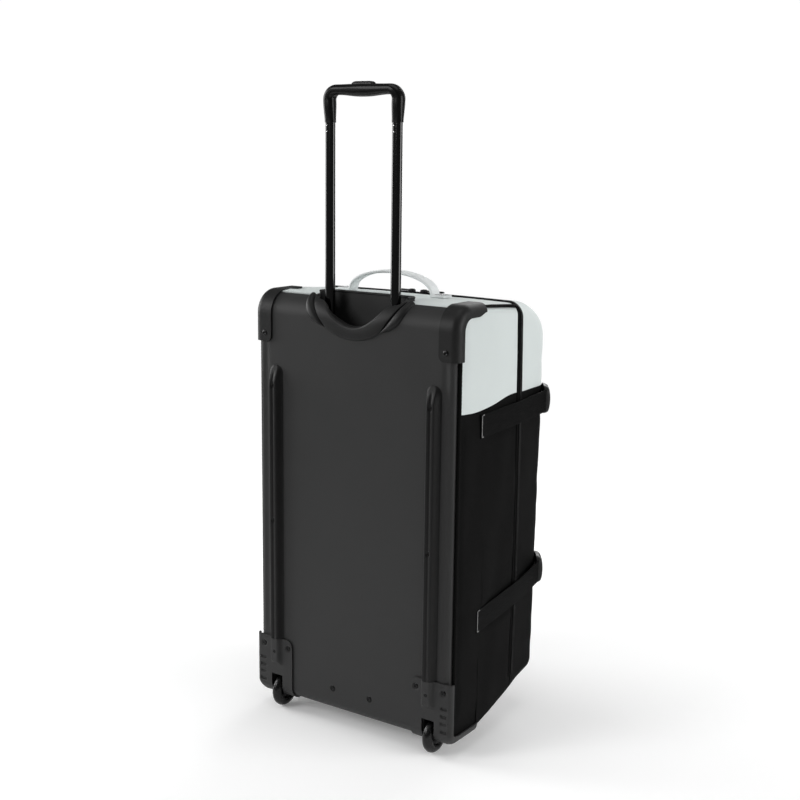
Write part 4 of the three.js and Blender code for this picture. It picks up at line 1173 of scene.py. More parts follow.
def round_corner(x, inner, radius):
    """How far a round corner draws an edge back, near the inner end of the edge."""
    short = np.clip(radius - (x - inner), 0, radius)
    return radius - np.sqrt(radius * radius - short * short)


def stud(centre, axis, radius, height, dished=0.0):
    """A round head: a low dome with a rounded rim, dished in the middle, and a short shank."""
    f = np.linspace(0, 1, 12)
    rise = height * (1 - f ** 2.6) - dished * (1 - ramp(f, 0.25, 0.55))
    profile = np.concatenate([np.stack([radius * f, rise], axis=1), [[radius, -0.6], [0.0, -0.6]]])
    return turned(profile, centre, axis, 28)


BACKWARDS = (0, -1, 0)


def pair_of_studs(name, heads):
    """The same round heads on both sides, given by their places on the right and their sizes."""
    for side, sign in SIDES:
        made = [stud(on_side(sign, np.array(place)), BACKWARDS, *size) for place, size in heads]
        add_solid(f"{name}_{side}", made, GLOSS_PLASTIC)


GUARD_INNER, GUARD_OUTER, GUARD_LIFT = 174.0, 211.0, 3.6
GUARD_ROLL, GUARD_LEG, GUARD_CORNER = 14.0, 21.0, 10.0
GUARD_WALL, GUARD_RIVET, GUARD_HEAD = 3.2, (188.0, -GUARD_LIFT, 695.6), (5.4, 1.6, 1.0)
guard_rows = np.concatenate([
    straight((0.0, GUARD_LOW), (0.0, TOP_BEND), (-1.0, 0.0), 34)[:-1],
    top_turn(90, 30)[:-1],
    straight((TOP_RADIUS, PANEL_TOP), (GUARD_REACH, PANEL_TOP), (0.0, 1.0), 26),
])
guard_leg = GUARD_LEG - 6.0 * ramp(guard_rows[:, 0], 60, 84)
guard_grid = rolled_grid(
    guard_rows, GUARD_INNER, GUARD_OUTER, np.full(len(guard_rows), GUARD_ROLL), guard_leg, GUARD_LIFT, 26,
    GUARD_CORNER, TOP_BEND,
)
print("guard grid:", guard_grid.shape)

# %% Guards and rivets
pair(add_sheet, "guard", [guard_grid], GUARD_WALL, MOULDED_PLASTIC, node="corner_guard", soften=0.8)
pair_of_studs("guard_rivet", [(GUARD_RIVET, GUARD_HEAD)])
print("guards and rivets made")

# %% [markdown]
# ## Skid rails
# A ribbed rail protects each side of the back when the bag is pulled over a kerb. Its section has
# a flat face with a groove and two sloping flanks, and its top ends in a slanted, round-nosed beak.

# %% Skid rails
RAIL_X, RAIL_PROUD, RAIL_HALF, RAIL_TIP, BEAK, NOSE = 165.0, 12.0, 15.0, 641.0, 34.0, 14.0
RAIL_RIVETS, RAIL_SEAT, RAIL_HEAD = (604.6, 360.0), -9.2, (3.6, 1.3, 0.9)
SCREW_PAIR, PANEL_HEAD = ((-40.0, 0.1, 69.0), (40.0, 0.1, 69.0)), (6.4, 1.8, 1.2)


def rail_grid():
    """Height over the panel from the place across: a flat face with a groove, sloping flanks that fillet
    into the panel, and round seats for the rivets, all scaled along the beak."""
    straight_run = np.linspace(BEAK, RAIL_TIP - HOUSING_TOP - 0.4, 240)[1:]
    below = np.concatenate([np.geomspace(0.4, BEAK, 40), straight_run])[:, None]
    w = np.linspace(-1, 1, 61)[None]
    slant = 0.16 + 0.84 * np.sin(np.clip(below / BEAK, 0, 1) * np.pi / 2)
    nose = np.sqrt(1 - (1 - np.clip(below / NOSE, 0, 1)) ** 2)
    x = RAIL_X + w * RAIL_HALF * nose
    z = RAIL_TIP - below
    flank = 1 - ramp(np.abs(w), 0.4, 1.0)
    groove = 1.5 * np.exp(-((w / 0.16) ** 2)) * ramp(below, 6, 22)
    seats = sum(1 - ramp(np.hypot(x - RAIL_X, z - place), 3.8, 4.8) for place in RAIL_RIVETS)
    height = np.maximum(RAIL_PROUD * slant * flank - groove - 1.6 * seats, 0) * nose ** 0.6
    return point(x, -0.4 - height, z + 0 * x)


def closed_back(grid, depth):
    """The same rail closed by its flat back."""
    behind = grid.copy()
    behind[..., 1] = depth
    return capped(np.concatenate([grid, behind[:, ::-1], grid[:, :1]], axis=1))


# The rails take the darker finish: painted shade for the shadow along their flanks.
pair(add_solid, "rail", [closed_back(rail_grid(), -0.3)], RAIL_PLASTIC_PAINTED_SHADE, node="skid_rail")
pair_of_studs("rail_rivets", [((RAIL_X, RAIL_SEAT, z), RAIL_HEAD) for z in RAIL_RIVETS])
add_solid("panel_screws", [stud(place, BACKWARDS, *PANEL_HEAD) for place in SCREW_PAIR], GLOSS_PLASTIC)
print("rails made")

# %% [markdown]
# ## Wheel housings
# Each lower corner is a moulded shell that follows the panel's foot and rolls round the side. A block
# under the rail carries it down to the slot for the wheel, small vents run up its outer edge, and two
# screws and a rivet hold it. The wheel turns in a plain tub behind the slot.

# %% Wheel housings
HOUSING_INNER, HOUSING_OUTER, HOUSING_WALL = 130.0, 212.0, 3.0
SLOT_HALF, SLOT_TOP, SLOT_BACK = 12.1, 66.0, 50.6
VENTS = (51.0, 65.0, 79.0, 93.0)
SCREW_X, SCREW_Z, SCREW_SEAT, SCREW_HEAD = (139.5, 195.0), 120.5, -2.2, (5.0, 1.4, 1.0)
BLOCK_RIVET, BLOCK_HEAD = (RAIL_X, -11.6, 113.0), (3.6, 1.2, 0.7)


def housing_grid():
    """The shell round the panel's foot, raised where the rail's block stands and sunk at the vents."""
    rows = np.concatenate([
        straight((0.0, HOUSING_TOP), (0.0, LOW_BEND), (-1.0, 0.0), 75)[:-1],
        foot_turn(26)[:-1],
        straight((LOW_RADIUS, PANEL_UNDER), (PANEL_LIP, PANEL_UNDER), (0.0, -1.0), 34),
    ])
    roll = 8.0 + 9.0 * ramp(-rows[:, 3], 0, 1)
    grid = rolled_grid(rows, HOUSING_INNER, HOUSING_OUTER, roll, roll + 1, 3.4, 60, 14.0, LOW_BEND)
    x, depth, z = np.moveaxis(grid, -1, 0)
    block = (1 - ramp(np.abs(x - RAIL_X), 6.4, 14.0)) * ramp(z, 84, 97) * 8.4
    vents = sum(1 - ramp(np.abs(z - place), 1.9, 3.0) for place in VENTS)
    vents = vents * ramp(x, 189.5, 191.5) * (1 - ramp(x, 202, 204))
    seats = sum(1 - ramp(np.hypot(x - place, z - SCREW_Z), 5.4, 6.8) for place in SCREW_X)
    front = ramp(-depth, -8, 0)
    return grid - np.stack([0 * x, (block - 2.6 * vents - 1.4 * seats) * front, 0 * x], axis=-1)


def housing_keep(x, depth, z):
    """True where the shell stays: outside the slot for the wheel."""
    return ~((np.abs(np.abs(x) - WHEEL_X) < SLOT_HALF) & (z < SLOT_TOP) & (depth < SLOT_BACK))


screws = [((x, SCREW_SEAT, SCREW_Z), SCREW_HEAD) for x in SCREW_X]
pair(
    add_sheet, "housing", [housing_grid()], HOUSING_WALL, PANEL_PLASTIC,
    node="wheel_housing", keep=housing_keep, soften=0.7,
)
pair_of_studs("housing_screws", [*screws, (BLOCK_RIVET, BLOCK_HEAD)])
print("housing grid:", housing_grid().shape)

# %% Wheel tubs
ARCH_LOW, ARCH_SPRING, ARCH_RISE, ARCH_BEND, ARCH_FRONT = 24.0, 54.0, 12.6, 12.0, 2.0
ARCH_WALL, AXLE_DEPTH, TYRE_RADIUS = 2.0, 19.0, 31.0


def tub_grids(sign):
    """The tub as a box open towards the slot: a curved back carried across, and two side walls."""
    bend = np.radians(np.linspace(0, 90, 14))
    start = SLOT_BACK - ARCH_BEND
    depth = np.concatenate([
        np.full(16, SLOT_BACK), start + ARCH_BEND * np.cos(bend), np.linspace(start, ARCH_FRONT, 20),
    ])
    z = np.concatenate([
        np.linspace(ARCH_LOW, ARCH_SPRING, 16), ARCH_SPRING + ARCH_RISE * np.sin(bend),
        np.full(20, ARCH_SPRING + ARCH_RISE),
    ])
    x = np.linspace(WHEEL_X - SLOT_HALF, WHEEL_X + SLOT_HALF, 12)
    roof = point(x[None], depth[:, None], z[:, None])
    inward = np.linspace(ARCH_FRONT, SLOT_BACK, 24)[:, None]
    past = np.clip(inward - start, 0, ARCH_BEND) / ARCH_BEND
    ceiling = ARCH_SPRING + ARCH_RISE * np.sqrt(np.clip(1 - past ** 2, 0, 1))
    heights = ARCH_LOW + (ceiling - ARCH_LOW) * np.linspace(0, 1, 20)[None]
    walls = [point(place, inward, heights) for place in (x[0], x[-1])]
    return [on_side(sign, grid) for grid in (roof, *walls)]


def wheel_middle(sign):
    return np.array([sign * WHEEL_X, AXLE_DEPTH, TYRE_RADIUS])


for side, sign in SIDES:
    middle = wheel_middle(sign)
    add_sheet(f"wheel_tub_{side}", tub_grids(sign), ARCH_WALL, MOULDED_PLASTIC, towards=middle)
print("tubs made")

# %% [markdown]
# ## Wheels
# The wheels are of the inline skate kind: a rounded cast tyre on a spoked hub, turning on a steel axle.
# All three are profiles turned round the axle, and the hub's face is sunk between its spokes.

# %% Wheels
TYRE_HALF, CORE = 9.5, 19.0
AXLE = np.array([
    [0, -14.5], [3.2, -14.5], [4, -13.7], [4, 13.7], [3.2, 14.5], [1.8, 14.5], [1.5, 13.2], [0, 13.2],
])
ALONG_AXLE = (1, 0, 0)


def tyre_profile():
    """Radius and place along the axle: a flattened half circle for the tread, with a fine moulded line
    on each shoulder, closed along the core."""
    angle = np.radians(np.linspace(-84, 84, 43))
    line = 0.35 * np.exp(-(((np.abs(angle) - 1.05) / 0.05) ** 2))
    crown = np.stack([20 + (11 - line) * np.cos(angle), (TYRE_HALF - line) * np.sin(angle)], axis=1)
    return np.concatenate([[[CORE, -8.6]], crown, [[CORE, 8.6]], [[CORE, -8.6]]])


def hub_grid(centre):
    """A ring with a raised boss; its face is sunk between five spokes, by a wave of the angle."""
    radius = np.array([4.6, 4.6, 8.6, 9.4, 11.0, 13.0, 15.0, 16.6, 17.4, 18.6, 18.6])
    place = np.array([0.0, 10.5, 10.5, 9.6, 7.2, 6.6, 6.6, 7.0, 8.0, 8.0, 0.0])
    sunk = np.array([0, 0, 0, 0, 1.2, 3.4, 3.4, 2.0, 0, 0, 0.0])
    angle = np.linspace(0, 2 * np.pi, 121)
    spoke = ramp(np.cos(5 * angle), -0.1, 0.6)
    along = place[:, None] - sunk[:, None] * (1 - spoke)
    face = np.stack([along, radius[:, None] * np.cos(angle), radius[:, None] * np.sin(angle)], axis=-1)
    whole = np.concatenate([face, face[::-1] * np.array([-1, 1, 1])])
    return centre + whole


for side, sign in SIDES:
    centre = wheel_middle(sign)
    body = f"wheel_{side}"
    tyre = turned(tyre_profile(), centre, ALONG_AXLE, 96)
    add_solid(f"tyre_{side}", [tyre], TYRE, f"wheel_tyre_{side}", body)
    add_solid(f"hub_{side}", [hub_grid(centre)], GLOSS_PLASTIC, f"wheel_hub_{side}", body)
    add_solid(f"axle_{side}", [turned(AXLE, centre, ALONG_AXLE, 40)], BARE_METAL, f"wheel_axle_{side}")
print("wheels made")

# %% [markdown]
# ## The handle well
# The pull handle comes out of a moulded well whose rim is a bowl-shaped band, with a dip for the fingers
# inside it and a thin ear outside each end. The rim is laid out flat on the panel, as curves across and
# up, and then bent over the panel's top roll.

# %% Well rim
WELL_INNER = np.array([
    [0, 0, 721.5], [0.25, 15.8, 723.8], [0.5, 31.5, 730.7], [0.75, 47.3, 742.3], [0.97, 61, 757.6],
    [1.01, 68, 762], [1.04, 80, 765.5], [1.07, 84, 771], [1.1, 85, 777],
], float)
WELL_BAND = np.array([
    [0, 0, 699], [0.2, 20, 700.8], [0.4, 40, 706.5], [0.5, 50, 711.8], [0.6, 59, 719],
    [0.7, 67, 727.5], [0.8, 75, 737.5], [0.9, 83, 749], [1, 90, 763], [1.1, 95, 777],
], float)
WELL_EAR = np.array([
    [0, 0, 699], [0.2, 20, 700.8], [0.4, 40, 706.5], [0.5, 50.5, 711.5], [0.6, 64, 717.5],
    [0.7, 80, 723.5], [0.8, 93, 732.5], [0.9, 101, 746], [1, 106, 762], [1.1, 108, 777],
], float)
RIM_END, RIM_WALL = 1.1, 1.8
RIM_STEPS = np.array([
    [0, 0, 0, -11, 0, 10], [0, 0, 0, -4, 0, 3.6], [0, 0, 0.3, 0.6, 0, 0], [0, 0, 1, 2.4, 0, 0],
    [0, 0, 2.2, 3.5, 0, 0], [0, 0, 4.5, 4, 0, 0], [0.5, 0, 0, 4.2, 0, 0], [1, 0, -3.5, 4, 0, 0],
    [1, 0, -1.6, 3.5, 0, 0], [1, 0, -0.5, 2.6, -1.2, 0], [1, 0, 0, 1.9, -1.5, 0], [1, 0.1, 0, 1.7, 0.6, 0],
    [1, 0.22, 0, 1.5, 3, 0], [1, 0.4, 0, 1.3, 4.3, 0], [1, 0.65, 0, 1, 4.4, 0], [1, 0.85, 0, 0.8, 3.2, 0],
    [1, 0.97, 0, 0.5, 1.6, 0], [1, 1, 0, -0.2, 0, 0],
])


def over_roll(x, run_up, height):
    """A place on the panel by x and length up its face, bent over the top roll, standing off by a height."""
    turn = np.clip(run_up - TOP_BEND, 0, None) / TOP_RADIUS
    depth = TOP_RADIUS * (1 - np.cos(turn)) - height * np.cos(turn)
    return point(x, depth, np.minimum(run_up, TOP_BEND) + (TOP_RADIUS + height) * np.sin(turn))


def rim_grid():
    """Steps from the inside of the dip over the band, through the groove, over the ear and down to the panel.
    Each row of the table holds the shares of the way to the band and on to the ear, a shift in millimetres,
    the height, and what the ear's lobe and the ends of the rim add to it."""
    u = np.linspace(-RIM_END, RIM_END, 181)
    flip = np.stack([np.sign(u), np.ones_like(u)], axis=1)
    tables = (WELL_INNER, WELL_BAND, WELL_EAR)
    inner, band, ear = ((along_table(table, np.abs(u))[:, 1:] * flip)[:, None] for table in tables)
    lobe = ramp(np.linalg.norm(ear - band, axis=-1), 1.0, 12.0)
    ends = ramp(np.abs(u), 0.66, 0.9)[:, None]
    to_band, to_ear, shift, height, by_lobe, by_ends = RIM_STEPS.T
    place = inner + to_band[:, None] * (band - inner) + to_ear[:, None] * (ear - band)
    x, run_up = np.moveaxis(place + shift[:, None] * unit(band - inner), -1, 0)
    return over_roll(x, run_up, height + by_lobe * lobe + by_ends * ends)


add_sheet("well_rim", [rim_grid()], RIM_WALL, MOULDED_PLASTIC, "handle_well")
print("well rim grid:", rim_grid().shape)

# %% Well tub
TUB_FRONT, TUB_BACK, TUB_FLOOR, TUB_TOP, TUB_X, TUB_BEND = 6.4, 50.0, 706.0, 773.0, 89.0, 8.0
TUB_WALL, TUB_MIDDLE = 2.4, np.array([0.0, 28.0, 745.0])
BEAD_X, BEAD_DEPTH, BEAD = 90.5, 51.5, 2.4


def well_tub_grids():
    """The pocket behind the rim: front, floor and back as one bent strip, and two end walls."""
    bend = np.radians(np.linspace(180, 270, 10))
    across, up = TUB_BEND * (1 + np.cos(bend)), TUB_FLOOR + TUB_BEND * (1 + np.sin(bend))
    front = np.stack([TUB_FRONT + across, up], axis=1)
    rear = np.stack([TUB_BACK - across, up], axis=1)[::-1]
    path = np.concatenate([[[TUB_FRONT, 719.0]], front, rear, [[TUB_BACK, 740.0], [TUB_BACK, TUB_TOP]]])
    strip = point(np.linspace(-TUB_X, TUB_X, 60)[None], path[:, :1], path[:, 1:])
    depth = np.linspace(TUB_FRONT, TUB_BACK, 24)[:, None]
    low = np.interp(depth, path[1:21, 0], path[1:21, 1])
    end = point(TUB_X, depth, low + (TUB_TOP - low) * np.linspace(0, 1, 20)[None] * ramp(depth, -8, 30))
    return [strip, end, on_side(-1.0, end)]


bead_path = np.concatenate([
    point(-BEAD_X, np.linspace(30, 49, 12), TUB_TOP), point(np.linspace(-88, 88, 90), BEAD_DEPTH, TUB_TOP),
    point(BEAD_X, np.linspace(49, 30, 12), TUB_TOP),
])
add_sheet("well_tub", well_tub_grids(), TUB_WALL, PANEL_PLASTIC, towards=TUB_MIDDLE)
add_solid("well_bead", [cord_grid(bead_path, BEAD)], MOULDED_PLASTIC)
print("well tub made")

# %% [markdown]
# ## The pull handle
# Two lacquered tubes carry a glossy grip. The grip is one closed bar whose section narrows to the necks
# where the tubes go in, thickens at the shoulders and swells a little under the hand. A button on top
# lets the handle slide down into its well.

# %% Tubes
TUBE_X, TUBE_DEPTH = 68.0, 28.0
TUBE_LOW, TUBE_HIGH = 640.0, 1074.0
TUBE_SECTION = rounded(18, 13, 6.0, 9)
PIN_X, PIN_DEPTH, PINS, PIN_HEAD = -3.0, TUBE_DEPTH - 6.15, (1051.0, 1041.0), (1.5, 0.45)


def tube_grid(sign):
    """A rounded rectangle carried straight up, its ends closed."""
    path = point(sign * TUBE_X, TUBE_DEPTH, np.linspace(TUBE_LOW, TUBE_HIGH, 24))
    across, out = (np.tile(way, (24, 1)) for way in ([1.0, 0.0, 0.0], [0.0, 1.0, 0.0]))
    return capped(swept(path, across, out, TUBE_SECTION))


for side, sign in SIDES:
    add_solid(f"tube_{side}", [tube_grid(sign)], BLACK_TUBE, f"trolley_tube_{side}", "trolley")
    pins = [stud((sign * TUBE_X + PIN_X, PIN_DEPTH, z), BACKWARDS, *PIN_HEAD) for z in PINS]
    add_solid(f"tube_pins_{side}", pins, BARE_METAL, body="trolley")
print("tubes made")

# %% Grip
GRIP_LOW, GRIP_TOP, GRIP_BEND, GRIP_X = 1056.0, 1118.4, 16.0, 69.5
BAR_HIGH, GRIP_DEEP, GRIP_BLUNT = 9.5, 12.0, 0.75
BUTTON_HALF, BUTTON_DEEP, BUTTON_SEAT = 25.0, 13.0, 1109.4
SEAT_HALF, SEAT_DEEP = 26.2, 7.4


def grip_path():
    """The left half of the grip's middle line, from the neck round the bend to the middle of the bar: place,
    direction, half thickness, half depth and the swelling under the hand."""
    bar_z = GRIP_TOP - BAR_HIGH
    leg_z = np.linspace(GRIP_LOW, bar_z - GRIP_BEND, 26)
    angle = np.radians(np.linspace(90, 0, 26))[1:]
    bar_x = np.concatenate([np.linspace(GRIP_X - GRIP_BEND, 26.4, 14)[1:], np.linspace(26.0, 0, 26)])
    f = (leg_z - GRIP_LOW) / (leg_z[-1] - GRIP_LOW)
    bend_x = GRIP_X - GRIP_BEND + GRIP_BEND * np.sin(angle)
    bend_z = bar_z - GRIP_BEND + GRIP_BEND * np.cos(angle)
    x = np.concatenate([TUBE_X + (GRIP_X - TUBE_X) * f, bend_x, bar_x])
    z = np.concatenate([leg_z, bend_z, np.full(len(bar_x), bar_z)])
    swell = ramp(f, 0.05, 0.85)
    over = 1.8 * ramp(np.cos(angle), 0, 1)
    bar = ramp(-bar_x, -45, 0)
    thick = np.concatenate([9.7 + 0.6 * swell, 10.3 - over, 8.5 + bar])
    deep = np.concatenate([7.4 + 2.8 * swell, 10.2 + over, GRIP_DEEP + bar])
    hand = np.concatenate([0 * f, 0 * angle, 2.2 * ramp(-bar_x, -52, -8)])
    turn = np.stack([np.cos(angle), np.sin(angle)], axis=1)
    way = np.concatenate([np.tile([0, 1], (26, 1)), turn, np.tile([1, 0], (len(bar_x), 1))])
    return -x, z, way, thick, deep, hand


def grip_grid():
    """A blunt ellipse carried along the middle line and its mirror image, with a seat sunk for the button."""
    x, z, way, thick, deep, hand = (value[:, None] for value in grip_path())
    angle = np.linspace(0, 2 * np.pi, 73)
    circle = np.stack([np.cos(angle), np.sin(angle)])
    across, out = np.sign(circle) * np.abs(circle) ** GRIP_BLUNT
    inner = across * (thick + hand * (circle[0] > 0))
    grid = point(x + inner * way[..., 1], TUBE_DEPTH + deep * out, z - inner * way[..., 0])
    whole = np.concatenate([grid, on_side(-1.0, grid)[::-1][1:]])
    x, depth, z = np.moveaxis(whole, -1, 0)
    seat = (np.abs(x) < SEAT_HALF) & (np.abs(depth - TUBE_DEPTH) < SEAT_DEEP) & (z > GRIP_TOP - BAR_HIGH)
    return capped(point(x, depth, np.where(seat, np.minimum(z, BUTTON_SEAT), z)))


add_solid("grip", [grip_grid()], GLOSS_PLASTIC, "trolley_grip", "trolley")
print("grip grid:", grip_grid().shape)

# %% Pillow shapes
def outline(wide, high, radius, count):
    """A round-cornered outline with evenly spaced points."""
    loop = rounded(wide, high, radius, 12)
    flat = np.concatenate([loop, np.zeros((len(loop), 1))], axis=1)
    return along_path(flat, np.linspace(0, run(flat[None], 1)[0, -1], count))[:, :2]


def pillow(loop, thick, edge, relief, origin, rings, axes=np.eye(3)):
    """A flat-backed pad: rings shrinking to the middle, raised to a thickness with a round edge and by a
    relief of the two places across it, then closed by its back."""
    radius = np.linspace(1, 0, rings) ** 0.8
    plan = loop[None] * radius[:, None, None]
    span = np.abs(loop).max()
    rim = np.clip((1 - radius) * span / edge, 0, 1)
    top = (thick + relief(plan[..., 0], plan[..., 1])) * np.sqrt(1 - (1 - rim) ** 2)[:, None]
    front = np.concatenate([plan, np.maximum(top, 0.0)[..., None]], axis=-1)
    back = np.concatenate([plan, np.zeros((*plan.shape[:2], 1))], axis=-1)[::-1]
    local = np.concatenate([front[::-1], back[::-1]])
    return origin + local @ axes


def button_relief(a, b):
    """Fine ribs across the middle of the button."""
    return 0.35 * np.cos(a * 1.9) * (np.abs(a) < 14)


button_loop = outline(2 * BUTTON_HALF, BUTTON_DEEP, 6.0, 120)
button = pillow(button_loop, 8.2, 9.0, button_relief, np.array([0.0, TUBE_DEPTH, GRIP_TOP - 5.0]), 35)
add_solid("button", [button], GLOSS_PLASTIC, "release_button", "button")
print("button grid:", button.shape)

# %% [markdown]
# ## The carry handle
# A pale webbing handle arches over the top, and its two flat feet are sewn down with boxes of stitching.
# The band is a thin rounded section carried along half an ellipse. The stitches are small bars.

# %% Stitches
def stitches(path, out, step=4.2, size=(3.0, 1.0, 0.8)):
    """Small bars laid end to end along a path."""
    total = run(path[None], 1)[0, -1]
    places = np.arange(step / 2, total - step / 2 + 0.01, step)
    centre = along_path(path, places)
    way = unit(along_path(path, places + 0.4) - along_path(path, places - 0.4))
    away = np.broadcast_to(np.asarray(out, float), way.shape)
    return bars(centre, way, unit(np.cross(away, way)), away, size)


def box_of_stitches(corners, out):
    """Stitches round a four-cornered patch and along its two diagonals."""
    a, b, c, d = (np.asarray(corner, float) for corner in corners)
    lines = [(a, b), (b, c), (c, d), (d, a), (a, c), (b, d)]
    return [stitches(np.linspace(start, end, 30), out) for start, end in lines]


CARRY_DEPTH, CARRY_HALF, CARRY_RISE, CARRY_FOOT = 119.0, 86.0, 36.0, 26.0
CARRY_WIDTH, CARRY_WALL = 25.0, 5.0
PATCH = ((109, -10), (109, 10), (91, 10), (91, -10))


def carry_path():
    """The feet as straights and the arch as half an ellipse."""
    seat = float(on_top(CARRY_DEPTH, 0.0)[2]) + 3.6
    angle = np.radians(np.linspace(180, 0, 90))
    arch = point(CARRY_HALF * np.cos(angle), CARRY_DEPTH, seat + CARRY_RISE * np.sin(angle) ** 0.9)
    foot = point(np.linspace(-CARRY_HALF - CARRY_FOOT, -CARRY_HALF, 12)[:-1], CARRY_DEPTH, seat)
    return np.concatenate([foot, arch, on_side(-1.0, foot)[::-1]])


path = carry_path()
way = unit(np.gradient(path, axis=0))
across = np.tile([0.0, 1.0, 0.0], (len(path), 1))
carry = capped(swept(path, across, np.cross(way, across), rounded(CARRY_WIDTH, CARRY_WALL, 2.2, 7)))
add_solid("carry_band", [carry], PALE_WEBBING, "carry_handle")
print("carry handle top:", round(float(path[:, 2].max()), 1))

# %% Handle stitching
foot_z = float(path[0, 2]) + CARRY_WALL / 2 + 0.1
boxes = []
for _, sign in SIDES:
    ends = [(sign * x, CARRY_DEPTH + depth, foot_z) for x, depth in PATCH]
    boxes += box_of_stitches(ends, (0, 0, 1))
add_solid("carry_stitches", boxes, THREAD)
print("stitch rows on the handle:", len(boxes))

# %% [markdown]
# ## Compression straps
# Two black straps on each side pull the lid in. Each is sewn to the side with a bracket of grey stitching,
# runs forward over the zip and ends in a buckle on the lid's round corner; a strap across the front
# joins the two buckles.

# %% Strap paths
STRAP_WIDTH, STRAP_WALL, FRONT_LIFT = 40.0, 2.4, 3.4
STRAP_SECTION = rounded(STRAP_WIDTH, STRAP_WALL, 1.1, 6)
SEWN_END = ((9, 18.4), (2.6, 18.4), (2.6, -18.4), (9, -18.4))
BUCKLE_TURN = np.radians(35.0)
BUCKLE_HALF, BUCKLE_STAND, BUCKLE_THICK, BUCKLE_HIGH = 26.0, 4.0, 9.0, 50.0
OUT = np.array([np.cos(BUCKLE_TURN), np.sin(BUCKLE_TURN), 0.0])
ALONG = np.array([-np.sin(BUCKLE_TURN), np.cos(BUCKLE_TURN), 0.0])


def lid_corner(z, stand):
    """A place on the lid's round side edge at the buckle's angle, standing off the lid."""
    depth = LID_FRONT - LID_EDGE + LID_EDGE * np.sin(BUCKLE_TURN)
    inset = LID_EDGE * (1 - np.cos(BUCKLE_TURN))
    x = float(on_side_wall(depth, side_t(depth, z), inset)[0])
    return np.array([x, ZIP_DEPTH + (depth - ZIP_DEPTH) * lid_shrink(z), z]) + stand * OUT


def smooth_path(stations, count):
    """A smooth curve through a few stations, spaced by the length between them."""
    stations = np.asarray(stations, float)
    table = np.concatenate([run(stations[None], 1)[0][:, None], stations], axis=1)
    return along_table(table, np.linspace(0, table[-1, 0], count))[:, 1:]


def side_strap_path(level):
    """From the sewn end along the side, lifting off it over the zip, to the near end of the buckle."""
    depth = np.array([STRAP_START, 90, 110, 130, 150, 170, 190, 212])
    lift = np.interp(depth, [70, 110, 150, 190, 212], [1.6, 1.6, 2.8, 4.6, 5.0])
    z = strap_height(level, depth)
    skin = on_side_wall(depth, side_t(depth, z)) + lift[:, None] * np.array([1.0, 0, 0])
    end = lid_corner(STRAPS[level][1], BUCKLE_STAND + 3) - (BUCKLE_HALF - 4) * ALONG
    return smooth_path(np.concatenate([skin, end[None]]), 90)


def front_strap_path(level):
    """From buckle to buckle over the front of the lid."""
    z = STRAPS[level][1]
    start = lid_corner(z, BUCKLE_STAND + 3) + (BUCKLE_HALF - 4) * ALONG
    x = np.array([135.0, 100.0, 50.0, 0.0])
    face = ZIP_DEPTH + (LID_FRONT + LID_CROWN * lid_crown(x, z) - ZIP_DEPTH) * lid_shrink(z) + FRONT_LIFT
    half = np.concatenate([start[None], point(x, face, z)])
    return smooth_path(np.concatenate([half, on_side(-1.0, half)[::-1][1:]]), 140)


print("strap paths ready")

# %% Straps
def strap_grid(path):
    """A thin rounded section carried upright along a path, with out square to the path."""
    upright = np.tile([0.0, 0.0, 1.0], (len(path), 1))
    out = unit(np.cross(np.gradient(path, axis=0), upright))
    out = out if np.sum(out * (path - MIDDLE)) > 0 else -out
    return capped(swept(path + out * STRAP_WALL / 2, upright, out, STRAP_SECTION))


def sewn_end(route, sign):
    """Three rows of stitches in a bracket round the sewn end of a strap."""
    places, heights = np.array(SEWN_END).T
    corners = on_side(sign, along_path(route, places) + point(STRAP_WALL + 0.1, 0, heights))
    rows = [np.linspace(*corners[k:k + 2], 30) for k in range(3)]
    return [stitches(row, (sign, 0, 0), 2.6, (2.5, 2.0, 0.9)) for row in rows]


for level in STRAPS:
    route = side_strap_path(level)
    for side, sign in SIDES:
        band = strap_grid(on_side(sign, route))
        add_solid(f"strap_band_{level}_{side}", [band], BLACK_WEBBING, f"strap_{level}_{side}")
        add_solid(f"strap_stitches_{level}_{side}", sewn_end(route, sign), THREAD)
    front = strap_grid(front_strap_path(level))
    add_solid(f"front_band_{level}", [front], BLACK_WEBBING, f"strap_front_{level}")
print("straps made:", 3 * len(STRAPS))

# %% [markdown]
# ## Buckles
# The buckles are side-release clips, bowed to follow the lid's corner. Each is a flat-backed pad with a
# round edge; slots for the webbing, the joint between its two halves and the openings for the prongs are
# sunk into its face.

# %% Buckles
BUCKLE_DOME = 8.0


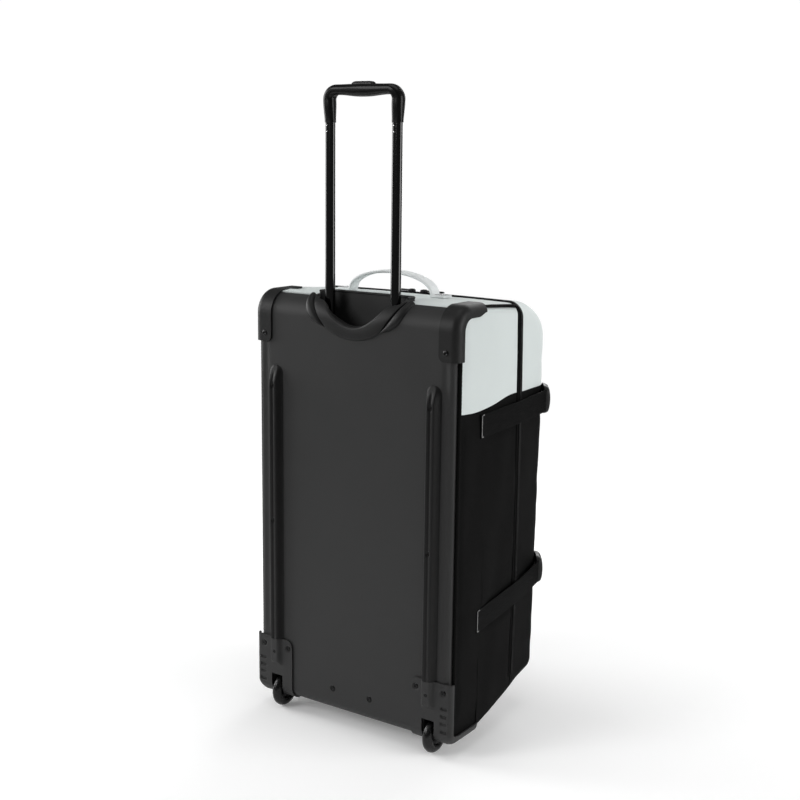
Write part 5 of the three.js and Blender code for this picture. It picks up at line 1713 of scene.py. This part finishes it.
def buckle_relief(a, b):
    """A bow along the strap, less two webbing slots, the middle joint and two side openings."""
    dome = BUCKLE_DOME * (np.sqrt(np.clip(1 - (b / BUCKLE_HALF) ** 2, 0, 1)) - 0.6)
    bow = 2.6 * (1 - (a / BUCKLE_HALF) ** 2) + dome
    slots = (1 - ramp(np.abs(np.abs(a) - 19.5), 1.6, 2.6)) * (1 - ramp(np.abs(b), 15, 17))
    joint = (1 - ramp(np.abs(a - 3), 0.4, 1.1)) * (1 - ramp(np.abs(b), 17, 20))
    prongs = (1 - ramp(np.abs(a + 4), 6, 8)) * ramp(np.abs(b), 15.5, 17.5)
    return bow - 3.0 * slots - 1.0 * joint - 2.2 * prongs


clip_loop = outline(2 * BUCKLE_HALF, BUCKLE_HIGH, 12.0, 160)
clip_axes = np.stack([ALONG, [0, 0, 1], OUT])
for level in STRAPS:
    seat = lid_corner(STRAPS[level][1], BUCKLE_STAND)
    clip = pillow(clip_loop, BUCKLE_THICK - 2, 3.4, buckle_relief, seat, 57, clip_axes)
    for side, sign in SIDES:
        add_solid(f"clip_{level}_{side}", [on_side(sign, clip)], MOULDED_PLASTIC, f"buckle_{level}_{side}")
print("buckles made")

# %% Zip pulls
SLIDER_X, TAB_X = 13.0, 33.5
pull_z = float(on_top(ZIP_DEPTH, 0.0, -2.5)[2]) + 0.8


def slider_relief(a, b):
    """A groove along the slider."""
    return -1.0 * np.exp(-((b / 1.6) ** 2))


def tab_relief(a, b):
    """A long dimple near the far end of the tab."""
    return -1.8 * (1 - ramp(np.hypot((a - 15) / 1.5, b), 1.6, 2.6))


slider_place = np.array([SLIDER_X, ZIP_DEPTH, pull_z])
tab_place = np.array([TAB_X, ZIP_DEPTH, pull_z + 1.0])
slider = pillow(outline(14, 11, 4.5, 60), 4.6, 2.0, slider_relief, slider_place, 25)
tab = pillow(outline(44, 9, 4.0, 80), 2.4, 1.2, tab_relief, tab_place, 33)
pair(add_solid, "pull", [slider, tab], GLOSS_PLASTIC, node="zip_pull")
print("zip pulls made")

# %% [markdown]
# ## What stays from the frame
# The two sleeves that guide the handle's tubes are hidden inside the bag. Their plain shape is right, so
# they stay and only take a brushed finish. The last cell counts the pieces shown and their triangles.

# %% Finishing
for side, _ in SIDES:
    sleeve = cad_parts[f"trolley_sleeve_{side}"]
    sleeve.data.materials.clear()
    sleeve.data.materials.append(BARE_METAL.material)
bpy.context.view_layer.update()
triangles = {o.name: len(o.data.polygons) * 2 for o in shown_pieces() if o.type == "MESH"}
largest = max(triangles, key=triangles.get)
print("pieces:", len(triangles), "triangles about", sum(triangles.values()), "largest", largest)
